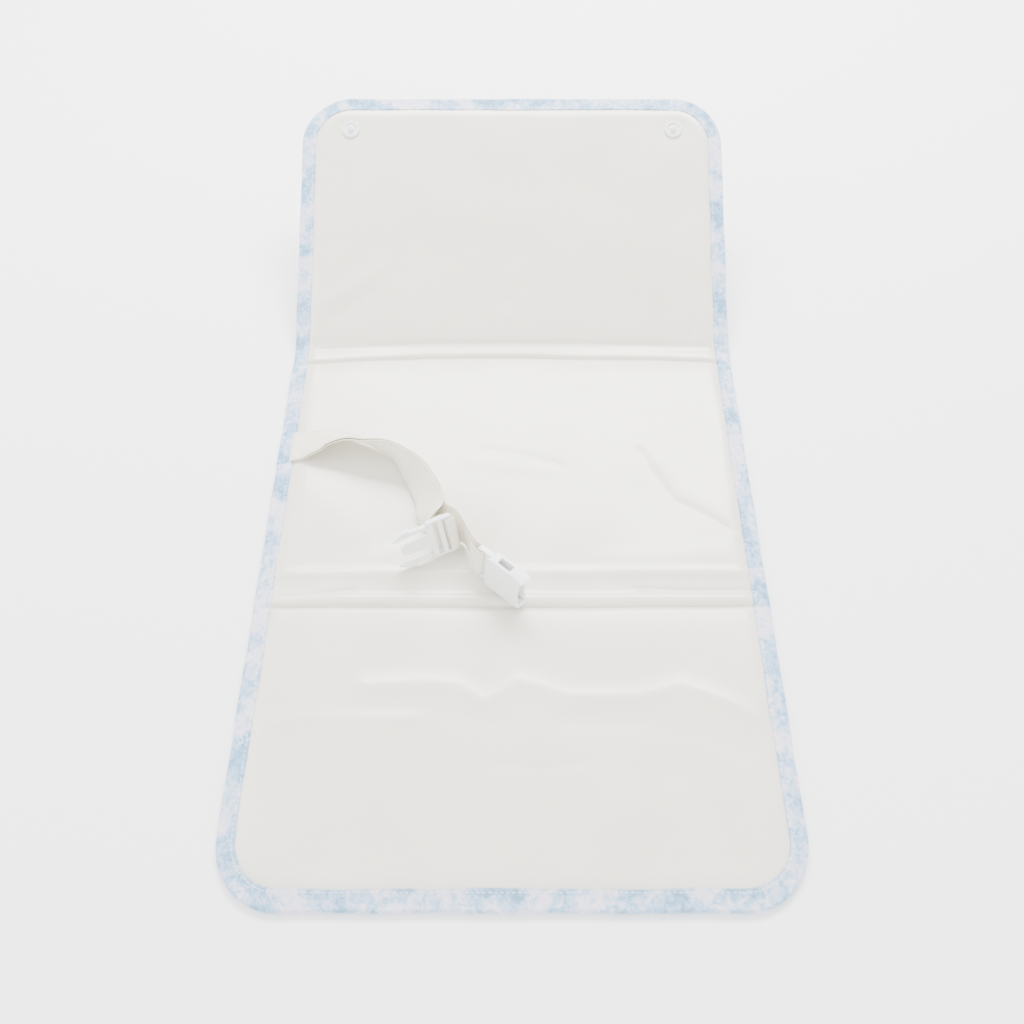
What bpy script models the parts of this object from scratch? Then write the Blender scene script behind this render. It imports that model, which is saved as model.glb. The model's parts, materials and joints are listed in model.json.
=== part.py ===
"""Tri-fold changing pad: three wipe-clean padded panels bound in printed tape, folding at two
stitched seams, with press studs at the head end and a webbing strap that ends in a side-release
buckle.

Metres, +Z up, +Y towards the head end. The panels are drawn flat in one design frame, with Y = 0
on the lower fold and Z = 0 on the floor. Each moving group hangs from an empty on its joint's
axis, and the whole pad is then moved so that the origin is under the middle of its box.
"""

import math

import bmesh
import bpy
import numpy as np
from mathutils import Matrix, Vector

MM = 0.001
GAP = 0.3 * MM

# The pad, opened out.
PAD_WIDTH = 0.340
FOOT_LENGTH = 0.194
MIDDLE_LENGTH = 0.216
HEAD_LENGTH = 0.212
CORNER_RADIUS = 0.040
PAD_HEIGHT = 8.0 * MM
HEAD_TILT = math.radians(24.0)

# The folds: half the width of each stitched seam, and the height of the line it turns about.
LOWER_SEAM = 6.0 * MM
UPPER_SEAM = 7.0 * MM
LOWER_AXIS_HEIGHT = 9.0 * MM
UPPER_AXIS_HEIGHT = 11.5 * MM
SEAM_ARC = 42.0

# The bound edge, from the floor up: binding, back, face, binding.
BINDING_WIDTH = 12.0 * MM
BINDING_CLOTH = 0.6 * MM
BACK_CLOTH = 0.4 * MM
FACE_CLOTH = 0.5 * MM
FACE_HEM = 1.9 * MM
FOAM_RISE = 6.4 * MM
BACK_HEM_LOW = BINDING_CLOTH + GAP
BACK_HEM_HIGH = BACK_HEM_LOW + BACK_CLOTH
FACE_HEM_LOW = BACK_HEM_HIGH + GAP
FACE_HEM_HIGH = FACE_HEM_LOW + FACE_HEM
BINDING_HEIGHT = FACE_HEM_HIGH + GAP + BINDING_CLOTH
HEM_INSET = BINDING_CLOTH + 0.7 * MM

# Press studs: plastic caps, studs and sockets.
STUD_FROM_SIDE = 40.0 * MM
STUD_FROM_END = 30.0 * MM
STUD_RADIUS = 7.2 * MM
NUB_RADIUS = 2.3 * MM
NUB_HEIGHT = 2.0 * MM
STUD_FLANGE = 1.0 * MM
PIN_RADIUS = 1.1 * MM
CAP_RADIUS = 6.5 * MM
CAP_THICKNESS = 0.8 * MM
SOCKET_RADIUS = 6.2 * MM
SOCKET_DEPTH = 2.15 * MM

# The strap: two layers of webbing from the left edge of the middle panel.
WEBBING_WIDTH = 25.0 * MM
WEBBING_THICKNESS = 1.0 * MM
LAYER_GAP = 1.2 * MM
STRAP_Y = 120.6 * MM
STRAP_AXIS_HEIGHT = BINDING_HEIGHT + 1.5 * MM
ANCHOR_THICKNESS = 1.2 * MM

# The buckle: the plug lies along its own X from the strap bar to the tips.
BUCKLE_WIDTH = 29.0 * MM
BAR_WIDTH = 3.2 * MM
FRAME_THICKNESS = 3.6 * MM
SLOT_WIDTH = 3.6 * MM
SHOULDER_LENGTH = 4.0 * MM
PRONG_LENGTH = 24.2 * MM
ARM_THICKNESS = 4.0 * MM
ARM_ROOT_Y = 11.1 * MM
SOCKET_LENGTH = 29.5 * MM
SHELL_THICKNESS = 9.0 * MM
CAVITY_HEIGHT = 5.4 * MM
CAVITY_WIDTH = 23.6 * MM
RAIL_WIDTH = (BUCKLE_WIDTH - WEBBING_WIDTH) / 2 - GAP

# Where the two halves lie: the middle of the strap bar, the way the half points, and its width.
PLUG_BAR = (130.0 * MM - PAD_WIDTH / 2, 39.8 * MM, PAD_HEIGHT + 15.9 * MM)
PLUG_AXIS = (-0.900, -0.435, 0.0)
PLUG_WIDTHWAYS = (-0.160, 0.345, 0.925)
SOCKET_BAR = (149.2 * MM - PAD_WIDTH / 2, 18.1 * MM, PAD_HEIGHT + 15.8 * MM)
SOCKET_AXIS = (0.760, -0.650, 0.0)
SOCKET_WIDTHWAYS = (0.090, 0.106, 0.990)

ARC_STEPS = 7
ROUND_STEPS = 24

PARTS = "changing_pad"
GUIDES = "cutters_and_guides"

COLOURS = {
    "face": ((0.82, 0.82, 0.78), 0.38),
    "foam": ((0.90, 0.86, 0.70), 0.90),
    "back": ((0.80, 0.81, 0.80), 0.60),
    "binding": ((0.66, 0.74, 0.84), 0.85),
    "webbing": ((0.82, 0.78, 0.71), 0.80),
    "buckle": ((0.86, 0.87, 0.86), 0.35),
    "snap": ((0.78, 0.78, 0.80), 0.30),
}


def clear_scene():
    for thing in list(bpy.data.objects):
        bpy.data.objects.remove(thing, do_unlink=True)
    for name in (PARTS, GUIDES):
        group = bpy.data.collections.new(name)
        bpy.context.scene.collection.children.link(group)


def material_for(name, kind):
    """A Principled material of its own for one sub-part."""
    colour, roughness = COLOURS[kind]
    material = bpy.data.materials.new(name)
    material.use_nodes = True
    shader = material.node_tree.nodes["Principled BSDF"]
    shader.inputs["Base Color"].default_value = (*colour, 1.0)
    shader.inputs["Roughness"].default_value = roughness
    shader.inputs["Metallic"].default_value = 0.0
    return material


def add_part(name, data, kind, carrier):
    """Link an object whose mesh is drawn in the design frame, hung from its carrier empty."""
    part = bpy.data.objects.new(name, data)
    data.materials.append(material_for(name, kind))
    bpy.data.collections[PARTS].objects.link(part)
    part.parent = carrier
    part.location = -Vector(carrier["axis_at"])
    return part


def add_guide(name, data):
    """Link a cutter or a profile, which is no part of the pad."""
    guide = bpy.data.objects.new(name, data)
    bpy.data.collections[GUIDES].objects.link(guide)
    guide.hide_render = True
    guide.display_type = "WIRE"
    return guide


def add_carrier(name, axis_at, parent, tilt=0.0):
    """An empty on a joint's axis; axis_at is its place in the design frame."""
    empty = bpy.data.objects.new(name, None)
    bpy.data.collections[PARTS].objects.link(empty)
    empty.empty_display_size = 0.02
    empty["axis_at"] = axis_at
    empty.parent = parent
    if parent is not None:
        empty.location = Vector(axis_at) - Vector(parent["axis_at"])
    empty.rotation_euler = (tilt, 0.0, 0.0)
    return empty


def mesh_from(name, form):
    """A mesh datablock from a bmesh, with its faces pointing out."""
    bmesh.ops.recalc_face_normals(form, faces=form.faces)
    mesh = bpy.data.meshes.new(name)
    form.to_mesh(mesh)
    form.free()
    return mesh


def loft(name, rings):
    """A closed body through rings of equally many points, with a flat cap at each end."""
    form = bmesh.new()
    loops = [[form.verts.new(point) for point in ring] for ring in rings]
    for lower, upper in zip(loops, loops[1:]):
        for i in range(len(lower)):
            j = (i + 1) % len(lower)
            form.faces.new((lower[i], lower[j], upper[j], upper[i]))
    form.faces.new(loops[0])
    form.faces.new(loops[-1])
    return mesh_from(name, form)


def rounded_ring(low, high, near_radius, far_radius, height):
    """A level rectangle from low to high, with round corners, as points going round once."""
    corners = (
        (low[0] + near_radius, low[1] + near_radius, near_radius, 180.0),
        (high[0] - near_radius, low[1] + near_radius, near_radius, 270.0),
        (high[0] - far_radius, high[1] - far_radius, far_radius, 0.0),
        (low[0] + far_radius, high[1] - far_radius, far_radius, 90.0),
    )
    points = []
    for x, y, radius, start in corners:
        for step in range(ARC_STEPS):
            turn = math.radians(start + 90.0 * step / (ARC_STEPS - 1))
            points.append((x + radius * math.cos(turn), y + radius * math.sin(turn), height))
    return points


class Panel:
    """One padded panel, between two values of Y. A bound end has round corners; a fold doesn't."""

    def __init__(self, near, far, near_bound, far_bound):
        self.near = near
        self.far = far
        self.near_bound = near_bound
        self.far_bound = far_bound

    def ring(self, from_edge, from_fold, height):
        """The panel's outline, drawn in by from_edge at bound edges and from_fold at folds."""
        half = PAD_WIDTH / 2 - HEM_INSET - from_edge
        bound_inset = HEM_INSET + from_edge
        bound_radius = max(CORNER_RADIUS - bound_inset, 6.0 * MM)
        fold_radius = 0.5 * MM + 0.5 * from_fold
        low_y = self.near + (bound_inset if self.near_bound else from_fold)
        high_y = self.far - (bound_inset if self.far_bound else from_fold)
        near_radius = bound_radius if self.near_bound else fold_radius
        far_radius = bound_radius if self.far_bound else fold_radius
        return rounded_ring((-half, low_y), (half, high_y), near_radius, far_radius, height)

    def body(self, name, sections):
        """A loft through rings, each given as (from edge, from fold, height), in metres."""
        return loft(name, [self.ring(*section) for section in sections])


def face_sections():
    """The wipe-clean face: a stitched hem all round, and a crown over the foam."""
    top = PAD_HEIGHT
    lip = BINDING_WIDTH - HEM_INSET + 0.6 * MM
    shoulder = FACE_HEM_HIGH + 0.38 * (top - FACE_HEM_HIGH)
    brow = FACE_HEM_HIGH + 0.76 * (top - FACE_HEM_HIGH)
    under = FACE_CLOTH
    return [
        (lip + 18.7 * MM, 18.0 * MM, top - under),
        (lip + 12.7 * MM, 13.0 * MM, top - under - 0.3 * MM),
        (lip + 6.9 * MM, 8.5 * MM, brow - 1.2 * under),
        (lip + 2.9 * MM, 5.2 * MM, shoulder - 1.8 * under),
        (lip + 0.7 * MM, 2.5 * MM, FACE_HEM_LOW),
        (0.0, 0.0, FACE_HEM_LOW),
        (0.0, 0.0, FACE_HEM_HIGH),
        (lip, 1.2 * MM, FACE_HEM_HIGH),
        (lip + 2.7 * MM, 3.5 * MM, shoulder),
        (lip + 6.7 * MM, 7.5 * MM, brow),
        (lip + 12.7 * MM, 12.5 * MM, top - 0.2 * MM),
        (lip + 18.7 * MM, 18.0 * MM, top),
    ]


def foam_sections():
    """The foam sheet, clear of the face above it and the back below it."""
    top = PAD_HEIGHT - FACE_CLOTH
    lip = BINDING_WIDTH - HEM_INSET + 0.6 * MM
    floor = BACK_CLOTH + GAP
    side = floor + 0.5 * FOAM_RISE
    return [
        (lip + 4.9 * MM, 6.5 * MM, floor),
        (lip + 4.9 * MM, 6.5 * MM, side),
        (lip + 8.1 * MM, 9.8 * MM, top - 1.6 * MM),
        (lip + 13.5 * MM, 13.6 * MM, top - 0.7 * MM),
        (lip + 19.4 * MM, 18.5 * MM, floor + FOAM_RISE),
    ]


def back_sections():
    """The back cloth: its hem stands on the binding and its middle lies on the floor."""
    lip = BINDING_WIDTH - HEM_INSET + 0.6 * MM
    return [
        (lip + 3.3 * MM, 5.0 * MM, 0.0),
        (lip + 0.6 * MM, 2.6 * MM, BACK_HEM_LOW),
        (0.0, 0.0, BACK_HEM_LOW),
        (0.0, 0.0, BACK_HEM_HIGH),
        (lip + 1.2 * MM, 3.2 * MM, BACK_HEM_HIGH),
        (lip + 4.2 * MM, 5.8 * MM, BACK_CLOTH),
    ]


def binding_profile():
    """A closed C of folded tape, as (inwards from the pad's edge, height)."""
    low_leg = BINDING_CLOTH
    high_leg = BINDING_HEIGHT - BINDING_CLOTH
    return [
        (1.2 * MM, 0.0),
        (BINDING_WIDTH, 0.0),
        (BINDING_WIDTH, low_leg),
        (1.4 * MM, low_leg),
        (BINDING_CLOTH, 1.3 * MM),
        (BINDING_CLOTH, high_leg - 0.7 * MM),
        (1.4 * MM, high_leg),
        (BINDING_WIDTH, high_leg),
        (BINDING_WIDTH, BINDING_HEIGHT),
        (1.2 * MM, BINDING_HEIGHT),
        (0.25 * MM, BINDING_HEIGHT - 0.8 * MM),
        (0.0, BINDING_HEIGHT - 1.6 * MM),
        (0.0, 1.6 * MM),
        (0.25 * MM, 0.8 * MM),
    ]


def edge_path(start_y, corner_y, side):
    """The pad's left edge from start_y, round the end at corner_y, and back along the right.

    side is +1 when the end is towards +Y. Each point carries the direction into the pad.
    """
    half = PAD_WIDTH / 2
    radius = CORNER_RADIUS
    centre_y = corner_y - side * radius
    path = [((-half, start_y), (1.0, 0.0))]
    for x_sign, start in ((-1.0, 180.0), (1.0, 90.0)):
        for step in range(2 * ARC_STEPS - 1):
            turn = math.radians(start - 90.0 * step / (2 * ARC_STEPS - 2))
            out = (math.cos(turn), side * math.sin(turn))
            place = (x_sign * (half - radius) + radius * out[0], centre_y + radius * out[1])
            path.append((place, (-out[0], -out[1])))
    path.append(((half, start_y), (-1.0, 0.0)))
    return path


def binding(name, path):
    """The C profile carried along a path of (place, direction into the pad)."""
    rings = []
    for place, inwards in path:
        ring = []
        for across, height in binding_profile():
            ring.append((place[0] + inwards[0] * across, place[1] + inwards[1] * across, height))
        rings.append(ring)
    return loft(name, rings)


def turned(name, profile, at):
    """A closed solid turned about a vertical axis at (x, y) from a profile of (radius, height)."""
    form = bmesh.new()
    verts = [form.verts.new((at[0] + radius, at[1], height)) for radius, height in profile]
    edges = [form.edges.new(pair) for pair in zip(verts, verts[1:])]
    if profile[0][0] > 0.0:
        edges.append(form.edges.new((verts[-1], verts[0])))
    bmesh.ops.spin(
        form,
        geom=verts + edges,
        cent=(at[0], at[1], 0.0),
        axis=(0.0, 0.0, 1.0),
        angle=math.tau,
        steps=ROUND_STEPS,
    )
    bmesh.ops.remove_doubles(form, verts=form.verts, dist=0.01 * MM)
    return mesh_from(name, form)


def add_cylinder(form, at, radius, low, high):
    """A capped cylinder in a bmesh, upright at (x, y)."""
    place = Matrix.Translation((at[0], at[1], (low + high) / 2))
    bmesh.ops.create_cone(
        form,
        cap_ends=True,
        segments=ROUND_STEPS,
        radius1=radius,
        radius2=radius,
        depth=high - low,
        matrix=place,
    )


def cylinder_cutter(name, places, radius, low, high, carrier):
    """One cutter of a cylinder at each place, hung from the same carrier as what it cuts."""
    form = bmesh.new()
    for at in places:
        add_cylinder(form, at, radius, low, high)
    cutter = add_guide(name, mesh_from(name, form))
    cutter.parent = carrier
    cutter.location = -Vector(carrier["axis_at"])
    return cutter


def box_mesh(name, low, high):
    """A box between two corners."""
    form = bmesh.new()
    bmesh.ops.create_cube(form, size=1.0)
    size = Vector(high) - Vector(low)
    centre = (Vector(high) + Vector(low)) / 2
    bmesh.ops.scale(form, vec=size, verts=form.verts)
    bmesh.ops.translate(form, vec=centre, verts=form.verts)
    return mesh_from(name, form)


def cut(part, cutter, operation="DIFFERENCE"):
    boolean = part.modifiers.new(cutter.name, "BOOLEAN")
    boolean.operation = operation
    boolean.solver = "EXACT"
    boolean.object = cutter


def outline_mesh(name, outline, holes, half_thickness, frame):
    """A flat outline with holes, thickened both ways, and placed by a frame matrix."""
    curve = bpy.data.curves.new(name, "CURVE")
    curve.dimensions = "2D"
    curve.fill_mode = "BOTH"
    curve.extrude = half_thickness
    for points in [outline, *holes]:
        spline = curve.splines.new("POLY")
        spline.points.add(len(points) - 1)
        for target, (x, y) in zip(spline.points, points):
            target.co = (x, y, 0.0, 1.0)
        spline.use_cyclic_u = True
    shape = bpy.data.objects.new(name, curve)
    bpy.data.collections[GUIDES].objects.link(shape)
    bpy.context.view_layer.update()
    mesh = bpy.data.meshes.new_from_object(shape.evaluated_get(bpy.context.evaluated_depsgraph_get()))
    bpy.data.objects.remove(shape, do_unlink=True)
    bpy.data.curves.remove(curve)
    form = bmesh.new()
    form.from_mesh(mesh)
    bmesh.ops.remove_doubles(form, verts=form.verts, dist=0.01 * MM)
    bmesh.ops.transform(form, matrix=frame, verts=form.verts)
    bpy.data.meshes.remove(mesh)
    return mesh_from(name, form)


def local_frame(at, along, widthways):
    """The matrix from a buckle half's own axes (X to its tip, Y across it) to the design frame."""
    x = Vector(along).normalized()
    y = Vector(widthways)
    y = (y - x * y.dot(x)).normalized()
    z = x.cross(y)
    turn = Matrix((x, y, z)).transposed().to_4x4()
    return Matrix.Translation(at) @ turn


def smooth(points, steps):
    """A Catmull-Rom curve through points, with steps samples to each span."""
    rows = np.array(points, float)
    padded = np.vstack([2 * rows[0] - rows[1], rows, 2 * rows[-1] - rows[-2]])
    result = []
    for i in range(len(rows) - 1):
        a, b, c, d = padded[i : i + 4]
        for t in np.arange(steps) / steps:
            blend = b + 0.5 * t * (c - a)
            blend = blend + t * t * (a - 2.5 * b + 2 * c - 0.5 * d)
            blend = blend + t**3 * (1.5 * (b - c) + 0.5 * (d - a))
            result.append(blend)
    result.append(rows[-1])
    return np.array(result)


def webbing(name, stations, offset, steps=7):
    """Flat webbing through stations of (x, y, z, and the direction across it).

    offset moves it off the stations towards the side its travel and its width turn to.
    """
    rows = smooth(stations, steps)
    centres = rows[:, :3]
    across = rows[:, 3:6]
    travel = np.gradient(centres, axis=0)
    travel = travel / np.linalg.norm(travel, axis=1)[:, None]
    across = across - (across * travel).sum(1)[:, None] * travel
    across = across / np.linalg.norm(across, axis=1)[:, None]
    facing = np.cross(travel, across)
    shift = rows[:, 6] if rows.shape[1] > 6 else np.ones(len(rows))
    centres = centres + facing * (offset * shift)[:, None]
    half_width = across * WEBBING_WIDTH / 2
    half_thick = facing * WEBBING_THICKNESS / 2
    rings = np.stack(
        [
            centres - half_width - half_thick,
            centres + half_width - half_thick,
            centres + half_width + half_thick,
            centres - half_width + half_thick,
        ],
        axis=1,
    )
    return loft(name, [[tuple(point) for point in ring] for ring in rings])


def shared_stations():
    """The strap's centre from the binding to where its two layers part, in millimetres.

    It starts flat at the left edge, rolls up onto its far edge, and curves round towards the
    lower fold. The height keeps its lower edge just off the face.
    """
    left = -(PAD_WIDTH / 2 - BINDING_WIDTH) / MM + 0.5
    strap_y = STRAP_Y / MM
    rest = PAD_HEIGHT / MM + 0.9
    half = WEBBING_WIDTH / MM / 2
    stack = (WEBBING_THICKNESS + LAYER_GAP) / MM
    root = [
        (left, strap_y, STRAP_AXIS_HEIGHT / MM, 0.0, -1.0, 0.0),
        (left + 7.5, strap_y, PAD_HEIGHT / MM + 1.9, 0.0, -1.0, 0.06),
    ]
    course = [
        (left + 16.5, strap_y + 0.3, 0.0, -0.97, 0.24),
        (left + 27.5, strap_y + 1.9, -0.30, -0.85, 0.44),
        (left + 43.5, strap_y - 1.1, -0.305, -0.573, 0.763),
        (left + 56.5, strap_y - 6.1, -0.42, -0.30, 0.86),
        (left + 73.5, strap_y - 13.6, -0.083, 0.0, 0.996),
        (left + 90.0, strap_y - 31.1, 0.405, 0.315, 0.856),
        (left + 99.5, strap_y - 47.6, 0.62, 0.27, 0.73),
        (left + 103.5, strap_y - 62.1, 0.72, 0.20, 0.66),
    ]
    rows = list(root)
    for x, y, across_x, across_y, across_z in course:
        length = math.sqrt(across_x**2 + across_y**2 + across_z**2)
        lean = across_z / length
        height = rest + half * lean + stack * math.sqrt(1.0 - lean**2)
        rows.append((x, y, height, across_x / length, across_y / length, lean))
    return rows


def to_stations(local_points, frame):
    """Stations in millimetres from (x, z) places in a buckle half's own axes."""
    across = frame.to_3x3() @ Vector((0.0, 1.0, 0.0))
    rows = []
    for x, z in local_points:
        place = frame @ Vector((x * MM, 0.0, z * MM)) / MM
        rows.append((*place, *across))
    return rows


def bar_loop(start, end, steps):
    """Places round the strap bar, from one angle in degrees to another, as (x, z)."""
    reach = math.hypot(BAR_WIDTH / 2, FRAME_THICKNESS / 2) + GAP + WEBBING_THICKNESS / 2
    places = []
    for step in range(steps + 1):
        turn = math.radians(start + (end - start) * step / steps)
        places.append((reach / MM * math.cos(turn), reach / MM * math.sin(turn)))
    return places


def metres(rows):
    """Stations with their first three values turned from millimetres to metres."""
    return [(x * MM, y * MM, z * MM, *rest) for x, y, z, *rest in rows]


def add_panel(name, panel, carrier):
    """Face, foam and back cloth of one panel."""
    face = add_part(f"face_{name}", panel.body(f"face_{name}", face_sections()), "face", carrier)
    foam = add_part(f"foam_{name}", panel.body(f"foam_{name}", foam_sections()), "foam", carrier)
    back = add_part(f"back_{name}", panel.body(f"back_{name}", back_sections()), "back", carrier)
    return face, foam, back


def add_seam(name, fold_y, half_width, axis_height, up_to, carrier):
    """The stitched valley at a fold: a flat strip of back cloth under a rolled strip of face.

    The face strip is an arc about the fold's axis, from SEAM_ARC degrees on the near side to up_to on
    the far side, so the panel that folds passes outside it at every angle.
    """
    half = PAD_WIDTH / 2 - HEM_INSET
    reach = half_width - GAP
    low = (-half, fold_y - reach, BACK_HEM_LOW)
    high = (half, fold_y + reach, BACK_HEM_HIGH)
    add_part(f"seam_{name}_back", box_mesh(f"seam_{name}_back", low, high), "back", carrier)

    outer = axis_height - FACE_HEM_LOW
    inner = outer - FACE_HEM
    turns = [math.radians(-SEAM_ARC + (up_to + SEAM_ARC) * i / 16) for i in range(17)]
    section = [(outer * math.sin(turn), -outer * math.cos(turn)) for turn in turns]
    section += [(inner * math.sin(turn), -inner * math.cos(turn)) for turn in reversed(turns)]
    half = PAD_WIDTH / 2 - BINDING_WIDTH - GAP
    rings = [[(x, fold_y + y, axis_height + z) for y, z in section] for x in (-half, half)]
    add_part(f"seam_{name}_face", loft(f"seam_{name}_face", rings), "face", carrier)


def add_middle(carrier):
    panel = Panel(LOWER_SEAM, MIDDLE_LENGTH - UPPER_SEAM, False, False)
    face = add_panel("middle", panel, carrier)[0]
    add_seam("lower", 0.0, LOWER_SEAM, LOWER_AXIS_HEIGHT, SEAM_ARC, carrier)
    raised = SEAM_ARC + math.degrees(HEAD_TILT)
    add_seam("upper", MIDDLE_LENGTH, UPPER_SEAM, UPPER_AXIS_HEIGHT, raised, carrier)
    start = -LOWER_SEAM + GAP
    end = MIDDLE_LENGTH + UPPER_SEAM - GAP
    for name, sign in (("left", -1.0), ("right", 1.0)):
        edge = sign * PAD_WIDTH / 2
        path = [((edge, start), (-sign, 0.0)), ((edge, end), (-sign, 0.0))]
        mesh = binding(f"binding_middle_{name}", path)
        add_part(f"binding_middle_{name}", mesh, "binding", carrier)
    add_anchor(face, carrier)


def add_anchor(face, carrier):
    """The sewn end of the webbing, in a notch of the face's hem under the left binding."""
    outer = -PAD_WIDTH / 2 + HEM_INSET
    inner = -PAD_WIDTH / 2 + BINDING_WIDTH - 0.2 * MM
    top = FACE_HEM_HIGH
    bottom = top - ANCHOR_THICKNESS
    half = WEBBING_WIDTH / 2
    mesh = box_mesh("webbing_anchor", (outer, STRAP_Y - half, bottom), (inner, STRAP_Y + half, top))
    add_part("webbing_anchor", mesh, "webbing", carrier)
    low = (outer - 2 * MM, STRAP_Y - half - GAP, bottom - GAP)
    high = (inner + GAP, STRAP_Y + half + GAP, top + 2 * MM)
    notch = add_guide("anchor_notch", box_mesh("anchor_notch", low, high))
    notch.parent = carrier
    notch.location = -Vector(carrier["axis_at"])
    cut(face, notch)


def stud_places():
    across = PAD_WIDTH / 2 - STUD_FROM_SIDE
    y = MIDDLE_LENGTH + HEAD_LENGTH - STUD_FROM_END
    return (("left", (-across, y)), ("right", (across, y)))


def add_head(carrier):
    start = MIDDLE_LENGTH + UPPER_SEAM
    end = MIDDLE_LENGTH + HEAD_LENGTH
    face, foam, back = add_panel("head", Panel(start, end, False, True), carrier)
    mesh = binding("binding_head", edge_path(start, end, 1.0))
    add_part("binding_head", mesh, "binding", carrier)

    flange_low = PAD_HEIGHT + GAP
    flange_high = flange_low + STUD_FLANGE
    nub_top = flange_high + NUB_HEIGHT
    bore = PIN_RADIUS + GAP
    bore_top = nub_top - 1.3 * MM
    neck = NUB_RADIUS - 0.2 * MM
    stud_profile = [
        (0.0, nub_top),
        (NUB_RADIUS - 0.6 * MM, nub_top),
        (NUB_RADIUS, nub_top - 0.6 * MM),
        (neck, flange_high + 0.4 * MM),
        (neck + 0.5 * MM, flange_high),
        (STUD_RADIUS - 0.6 * MM, flange_high),
        (STUD_RADIUS, flange_high - 0.4 * MM),
        (STUD_RADIUS, flange_low),
        (bore, flange_low),
        (bore, bore_top),
        (0.0, bore_top),
    ]
    cap_top = 0.1 * MM + CAP_THICKNESS
    cap_profile = [
        (0.0, bore_top - GAP),
        (PIN_RADIUS, bore_top - GAP),
        (PIN_RADIUS, cap_top),
        (CAP_RADIUS - 0.2 * MM, cap_top),
        (CAP_RADIUS, cap_top - 0.2 * MM),
        (CAP_RADIUS, 0.4 * MM),
        (CAP_RADIUS - 0.3 * MM, 0.1 * MM),
        (0.0, 0.1 * MM),
    ]
    places = [at for _, at in stud_places()]
    for side, at in stud_places():
        stud = turned(f"stud_{side}", stud_profile, at)
        add_part(f"stud_{side}", stud, "snap", carrier)
        cap = turned(f"stud_cap_{side}", cap_profile, at)
        add_part(f"stud_cap_{side}", cap, "snap", carrier)
    above = nub_top + 2 * MM
    pin_holes = cylinder_cutter("pin_holes", places, bore, -2 * MM, above, carrier)
    pocket_top = cap_top + GAP
    pocket_radius = CAP_RADIUS + GAP
    cap_pockets = cylinder_cutter("cap_pockets", places, pocket_radius, -2 * MM, pocket_top, carrier)
    cut(face, pin_holes)
    cut(foam, pin_holes)
    cut(foam, cap_pockets)
    cut(back, cap_pockets)


def add_foot(carrier):
    end = -FOOT_LENGTH
    face, foam, back = add_panel("foot", Panel(end, -LOWER_SEAM, True, False), carrier)
    mesh = binding("binding_foot", edge_path(-LOWER_SEAM, end, -1.0))
    add_part("binding_foot", mesh, "binding", carrier)

    low = 0.15 * MM
    high = low + SOCKET_DEPTH
    mouth = NUB_RADIUS + GAP
    bore = PIN_RADIUS + GAP
    web = high - 0.3 * MM
    socket_profile = [
        (bore, high),
        (SOCKET_RADIUS - 0.4 * MM, high),
        (SOCKET_RADIUS, high - 0.4 * MM),
        (SOCKET_RADIUS, low + 0.4 * MM),
        (SOCKET_RADIUS - 0.4 * MM, low),
        (mouth + 0.3 * MM, low),
        (mouth, low + 0.3 * MM),
        (mouth, web),
        (bore, web),
    ]
    cap_low = high + GAP
    cap_high = cap_low + CAP_THICKNESS
    cap_profile = [
        (0.0, cap_high),
        (CAP_RADIUS + 0.2 * MM, cap_high),
        (CAP_RADIUS + 0.5 * MM, cap_high - 0.3 * MM),
        (CAP_RADIUS + 0.2 * MM, cap_low),
        (PIN_RADIUS, cap_low),
        (PIN_RADIUS, high - 0.2 * MM),
        (0.0, high - 0.2 * MM),
    ]
    places = []
    for side, (x, stud_y) in stud_places():
        at = (x, stud_y - 2 * MIDDLE_LENGTH)
        places.append(at)
        socket = turned(f"snap_socket_{side}", socket_profile, at)
        add_part(f"snap_socket_{side}", socket, "snap", carrier)
        cap = turned(f"socket_cap_{side}", cap_profile, at)
        add_part(f"socket_cap_{side}", cap, "snap", carrier)
    hole_radius = SOCKET_RADIUS + GAP
    holes = cylinder_cutter("socket_holes", places, hole_radius, -2 * MM, high, carrier)
    pocket_radius = CAP_RADIUS + 0.5 * MM + GAP
    pocket_top = cap_high + GAP
    pockets = cylinder_cutter("socket_pockets", places, pocket_radius, -2 * MM, pocket_top, carrier)
    cut(back, holes)
    cut(foam, pockets)


def plug_frame_mesh(frame):
    """Ladder of two bars and two slots, a shoulder, and the guide tongue between the arms."""
    half = BUCKLE_WIDTH / 2
    bar = BAR_WIDTH / 2
    slot_half = half - RAIL_WIDTH
    slot_end = bar + SLOT_WIDTH
    bar_end = slot_end + BAR_WIDTH
    second_end = bar_end + SLOT_WIDTH
    shoulder = second_end + SHOULDER_LENGTH
    tip = shoulder + PRONG_LENGTH * 0.82
    chamfer = 1.2 * MM
    tongue = 4.2 * MM
    outline = [
        (-bar, -half + chamfer),
        (-bar + chamfer, -half),
        (shoulder - chamfer, -half),
        (shoulder, -half + chamfer),
        (shoulder, -tongue),
        (tip - 3.0 * MM, -tongue + 0.6 * MM),
        (tip, -tongue / 2),
        (tip, tongue / 2),
        (tip - 3.0 * MM, tongue - 0.6 * MM),
        (shoulder, tongue),
        (shoulder, half - chamfer),
        (shoulder - chamfer, half),
        (-bar + chamfer, half),
        (-bar, half - chamfer),
    ]
    holes = []
    for start, end in ((bar, slot_end), (bar_end, second_end)):
        holes.append(
            [(start, -slot_half), (start, slot_half), (end, slot_half), (end, -slot_half)]
        )
    return outline_mesh("plug_frame", outline, holes, FRAME_THICKNESS / 2, frame)


def arm_root_x():
    """Where the plug's spring arms leave the shoulder, along the plug's X."""
    return BAR_WIDTH / 2 + 2 * SLOT_WIDTH + BAR_WIDTH + SHOULDER_LENGTH + GAP


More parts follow.
